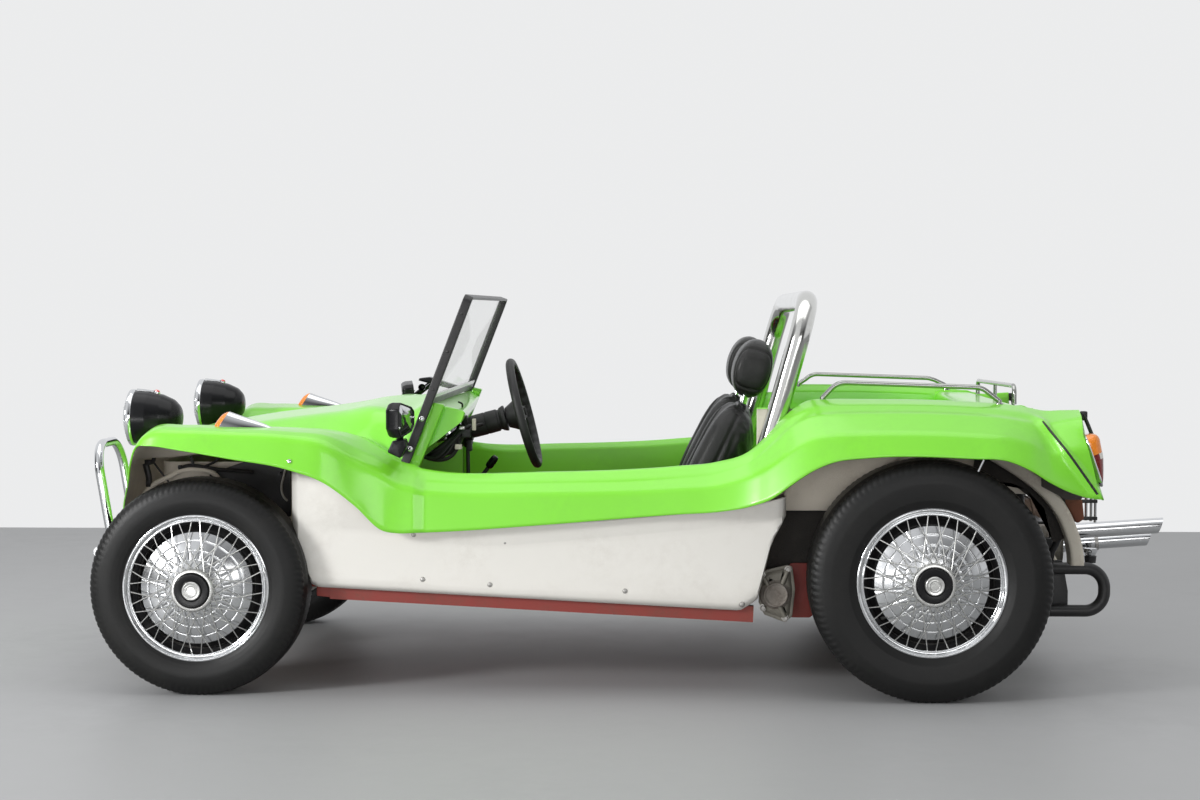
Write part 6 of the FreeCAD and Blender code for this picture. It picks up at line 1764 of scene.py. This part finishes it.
def exhaust():
    """Flattened silencer with seams, two bright pipes with slanted ends, a clamp and a small bright fitting."""
    pieces = Pieces()
    for start, end, radius in (((-1.262, 0.282, 0.412), (-1.58, 0.282, 0.444), 0.0232),
            ((-1.262, 0.205, 0.366), (-1.564, 0.205, 0.3985), 0.0228)):
        bend = (-1.335, start[1], end[2] - 0.017)
        line = rounded([start, bend, end], [0.12], run=6, arc=8)
        slashed_pipe(pieces, line, radius, 0.42, 0)
    pieces.turned([(0.0, 0.022), (0.0, 0.026), (0.01, 0.026), (0.01, 0.022)], (-1.402, 0.205, 0.385), (-1, 0, 0.1),
        32, 2)
    outline = round_outline(rectangle(0.152, 0.33, 0.333, 0.452), 0.045, arc=8, run=4)
    pieces.add(ringed(outline, (-1.253, 0, 0), ((0, 1, 0), (0, 0, 1), (-1, 0, 0)),
        [(0.012, 0.003), (0.003, 0.0015), (0.0, 0.0015), (0.0, 0.005), (0.004, 0.006), (0.004, 0.031), (0.0, 0.032),
        (0.0, 0.035), (0.004, 0.0355), (0.014, 0.034)]), 3)
    collar = [(0.0, 0.0), (0.0, 0.014), (0.01, 0.017), (0.014, 0.02), (0.024, 0.02), (0.026, 0.017), (0.026, 0.0)]
    pieces.turned(collar, (-1.381, 0.262, 0.349), (0, 0, 1), 24)
    pieces.turned([(0.0, 0.0), (0.0, 0.016), (0.02, 0.018), (0.022, 0.0)], (-1.381, 0.262, 0.33), (0, 0, 1), 24, 4)
    pieces.tube([(-1.381, 0.262, 0.371), (-1.381, 0.24, 0.38), (-1.381, 0.205, 0.372)], 0.005, 10, 4)
    pieces.object("exhaust_pipes", "chrome", [CHROME, UNDERSEAL, DULL_STEEL, GRIMY, SATIN_BLACK],
        replaces=("exhaust",), sharp=40)


def bright_tubes():
    """Luggage rails on the tail and the hoops at the front: round tubes along lines with soft corners."""
    rails = Pieces()
    side_line = [(FRONT_AXLE - 1.757, 0.566, 0.832), (FRONT_AXLE - 1.799, 0.566, 0.877),
        (FRONT_AXLE - 2.205, 0.566, 0.863), (FRONT_AXLE - 2.255, 0.566, 0.824)]
    for side in SIDES:
        line = rounded(np.array(side_line) * (1, side, 1), [0.055, 0.055], run=8, arc=10)
        line[:, 2] -= 0.012 * (side < 0) * np.clip((line[:, 2] - 0.83) / 0.03, 0, 1)
        rails.tube(line, 0.0072, 16)
        for end in (side_line[0], side_line[-1]):
            rails.turned([(-0.012, 0.0), (-0.012, 0.013), (-0.006, 0.012), (-0.003, 0.007), (0.004, 0.007)],
                np.array(end) * (1, side, 1), (0, 0, 1), 20)
    x = FRONT_AXLE - 2.331
    cross = rounded([(x, 0.36, 0.806), (x, 0.36, 0.86), (x, -0.36, 0.85), (x, -0.36, 0.806)], [0.03, 0.03], run=8,
        arc=10)
    rails.tube(cross, 0.0068, 16)
    rails.tube([(x, 0, 0.806), (x, 0, 0.857)], 0.0055, 12)
    rails.object("luggage_rails", "chrome", [RAIL_STEEL], replaces=("deck_rails",))

    hoops = Pieces()
    for side in SIDES:
        corners = [(1.512, 0.158, 0.392), (1.5605, 0.158, 0.684), (1.5605, 0.42, 0.684), (1.512, 0.42, 0.392)]
        line = rounded(np.array(corners) * (1, side, 1), [0.085, 0.085], run=8, arc=14)
        hoops.tube(line, 0.0138, 24)
        for foot in (corners[0], corners[-1]):
            hoops.turned([(-0.006, 0.0), (-0.006, 0.02), (0.002, 0.02), (0.006, 0.015), (0.012, 0.0145)],
                np.array(foot) * (1, side, 1), (0.16, 0, 1), 24)
    hoops.object("front_hoops", "chrome", [CHROME], replaces=("bumper_hoops",))
    bar = rounded([(-0.275, 0.556, 0.217), (-0.525, 0.556, 1.107), (-0.508, -0.556, 1.103), (-0.266, -0.556, 0.217)],
        [0.12, 0.12], run=[40, 40, 40], arc=24)
    hoop = Pieces().tube(bar, 0.0308, 48)
    for y in (0.556, -0.556):
        hoop.turned([(0.0, 0.0308), (0.0, 0.05), (0.006, 0.05), (0.008, 0.048), (0.008, 0.0308)], (-0.277, y, 0.219),
            (0, 0, 1), 40, 1)
    hoop.object("roll_hoop", "chrome", [STAINLESS, SATIN_BLACK], replaces=("roll_bar",))


def bumper_loops():
    """Black tube loops behind the rear wheels, the cross stay between them and their plates."""
    pieces = Pieces()
    for side in SIDES:
        loop = np.array([(-1.215, 0.4, 0.33), (-1.394, 0.4, 0.33), (-1.394, 0.4, 0.206), (-1.215, 0.4, 0.206)])
        line = rounded(loop * (1, side, 1), [0.0618, 0.0618], run=6, arc=16)
        pieces.tube(line, 0.0175, 24)
        plate = round_outline([(-1.232, 0.19), (-1.292, 0.19), (-1.292, 0.262), (-1.276, 0.352), (-1.232, 0.352)], 0.01)
        pieces.plate(plate, (0, side * 0.38, 0), side_view(side), 0.006, 0.001)
        pieces.add(bolt((-1.262, side * 0.386, 0.33), (0, side, 0), 0.01, 0.006), 1)
        pipe = np.array([(-1.262, 0.372, 0.238), (-1.258, 0.37, 0.3), (-1.25, 0.362, 0.35),
            (-1.215, 0.34, 0.395)]) * (1, side, 1)
        pieces.cable(pipe, 0.013, 16, 20, 2)
    pieces.tube([(-1.275, -0.39, 0.21), (-1.275, 0.39, 0.21)], 0.0145, 20)
    pieces.object("rear_bumper_loops", "frame_black", [SATIN_BLACK, DULL_STEEL, RUSTY_CREAM], replaces=("rear_bumper",))


for side in SIDES:
    side_panel(side)
    rear_arch(side)
    wing_joint(side)
    torsion_cover(side)
rear_tub()
exhaust()
bright_tubes()
bumper_loops()


# ---------------------------------------------------------------- floor, light and camera

CAMERA_PLACE = (-0.1416, 6.3859, 1.0843)
CAMERA_YAW, CAMERA_PITCH = math.radians(2.067), math.radians(2.5426)
LENS, SENSOR_WIDTH = 61.5, 36.0


def stage():
    """Grey floor, soft lights, a pale surround and the camera."""
    floor = Pieces().add(np.stack(np.meshgrid(np.linspace(-14, 14, 15), np.linspace(-3.65, 14, 10), indexing="ij")
        + [np.zeros((15, 10))], -1), around=False)
    mesh = bpy.data.meshes.new("floor")
    points, faces = np.concatenate(floor.points), np.concatenate(floor.faces)
    mesh.from_pydata(points.tolist(), [], faces[:, ::-1].tolist())
    ground = bpy.data.objects.new("floor", mesh)
    bpy.context.scene.collection.objects.link(ground)
    mesh.materials.append(finish("floor_paint", (0.4, 0.405, 0.41), dirt=(0.3, 0.305, 0.31), rough=0.5,
        dirt_rough=0.6, scale=0.8, patches=0.25, shade=0.05, grain=(30.0, 1.0, 200.0, 0.0), bump=0.1,
        bump_depth=0.002))

    world = bpy.data.worlds.new("surround")
    bpy.context.scene.world = world
    world.use_nodes = True
    tree = world.node_tree
    tree.nodes.clear()
    path = shader_node(tree, "LightPath")
    seen = maths(tree, "MAXIMUM", path.outputs["Is Camera Ray"], path.outputs["Is Transmission Ray"])
    way = shader_node(tree, "SeparateXYZ", Vector=shader_node(tree, "TexCoord").outputs["Generated"]).outputs
    # light on matt surfaces: an even grey, a little brighter from above
    even = ramp(tree, way["Z"], -0.2, 1.0, 0.32, 0.54)
    light = shader_node(tree, "Background", Color=colour(1.0, 1.0, 1.0), Strength=even)
    # what polished metal mirrors: soft upright bands of pale wall and dark doorways, and a pale ceiling
    bands = maths(tree, "COSINE", maths(tree, "MULTIPLY_ADD", way["X"], 4.2, -1.68))
    side = ramp(tree, bands, -0.5, 0.5, 0.06, 0.88, interpolation_type="SMOOTHSTEP")
    high = ramp(tree, way["Z"], 0.25, 0.8, 0.0, 0.66)
    back = ramp(tree, way["Y"], 0.0, -0.3, 0.0, 0.92)
    mirror = maths(tree, "MAXIMUM", maths(tree, "MAXIMUM", side, high), back)
    shine = shader_node(tree, "Background", Color=colour(0.97, 0.98, 1.0), Strength=mirror)
    wall = shader_node(tree, "Background", Color=colour(0.835, 0.84, 0.845), Strength=1.0)
    inner = shader_node(tree, "MixShader", _0=path.outputs["Is Glossy Ray"], _1=light.outputs[0], _2=shine.outputs[0])
    outer = shader_node(tree, "MixShader", _0=seen, _1=inner.outputs[0], _2=wall.outputs[0])
    out = tree.nodes.new("ShaderNodeOutputWorld")
    tree.links.new(outer.outputs[0], out.inputs["Surface"])

    for name, place, size, power in (("roof_light", (0.2, 0.6, 4.2), (5.5, 3.0), 60.0),
            ("front_light", (5.9, 4.7, 2.8), (1.5, 1.2), 300.0), ("fill_light", (-1.6, 6.8, 1.4), (2.6, 1.6), 45.0),
            ("low_light", (2.3, 4.8, 0.3), (2.4, 0.4), 26.0)):
        data = bpy.data.lights.new(name, "AREA")
        data.shape, data.size, data.size_y, data.energy = "RECTANGLE", size[0], size[1], power
        lamp = bpy.data.objects.new(name, data)
        bpy.context.scene.collection.objects.link(lamp)
        lamp.location = place
        aim = Vector((0.0, 0.0, 0.5)) - Vector(place)
        lamp.rotation_euler = aim.to_track_quat("-Z", "Y").to_euler()

    yaw, pitch = CAMERA_YAW, CAMERA_PITCH
    level = np.array([math.sin(yaw), -math.cos(yaw), 0.0])
    right = np.array([-math.cos(yaw), -math.sin(yaw), 0.0])
    ahead = level * math.cos(pitch) - np.array([0, 0, math.sin(pitch)])
    up = level * math.sin(pitch) + np.array([0, 0, math.cos(pitch)])
    data = bpy.data.cameras.new("camera")
    data.lens, data.sensor_width = LENS, SENSOR_WIDTH
    camera = bpy.data.objects.new("camera", data)
    bpy.context.scene.collection.objects.link(camera)
    matrix = np.eye(4)
    matrix[:3, 0], matrix[:3, 1], matrix[:3, 2] = right, up, -ahead
    matrix[:3, 3] = CAMERA_PLACE
    camera.matrix_world = Matrix(matrix.tolist())
    bpy.context.scene.camera = camera
    bpy.context.scene.view_settings.view_transform = "Standard"


stage()
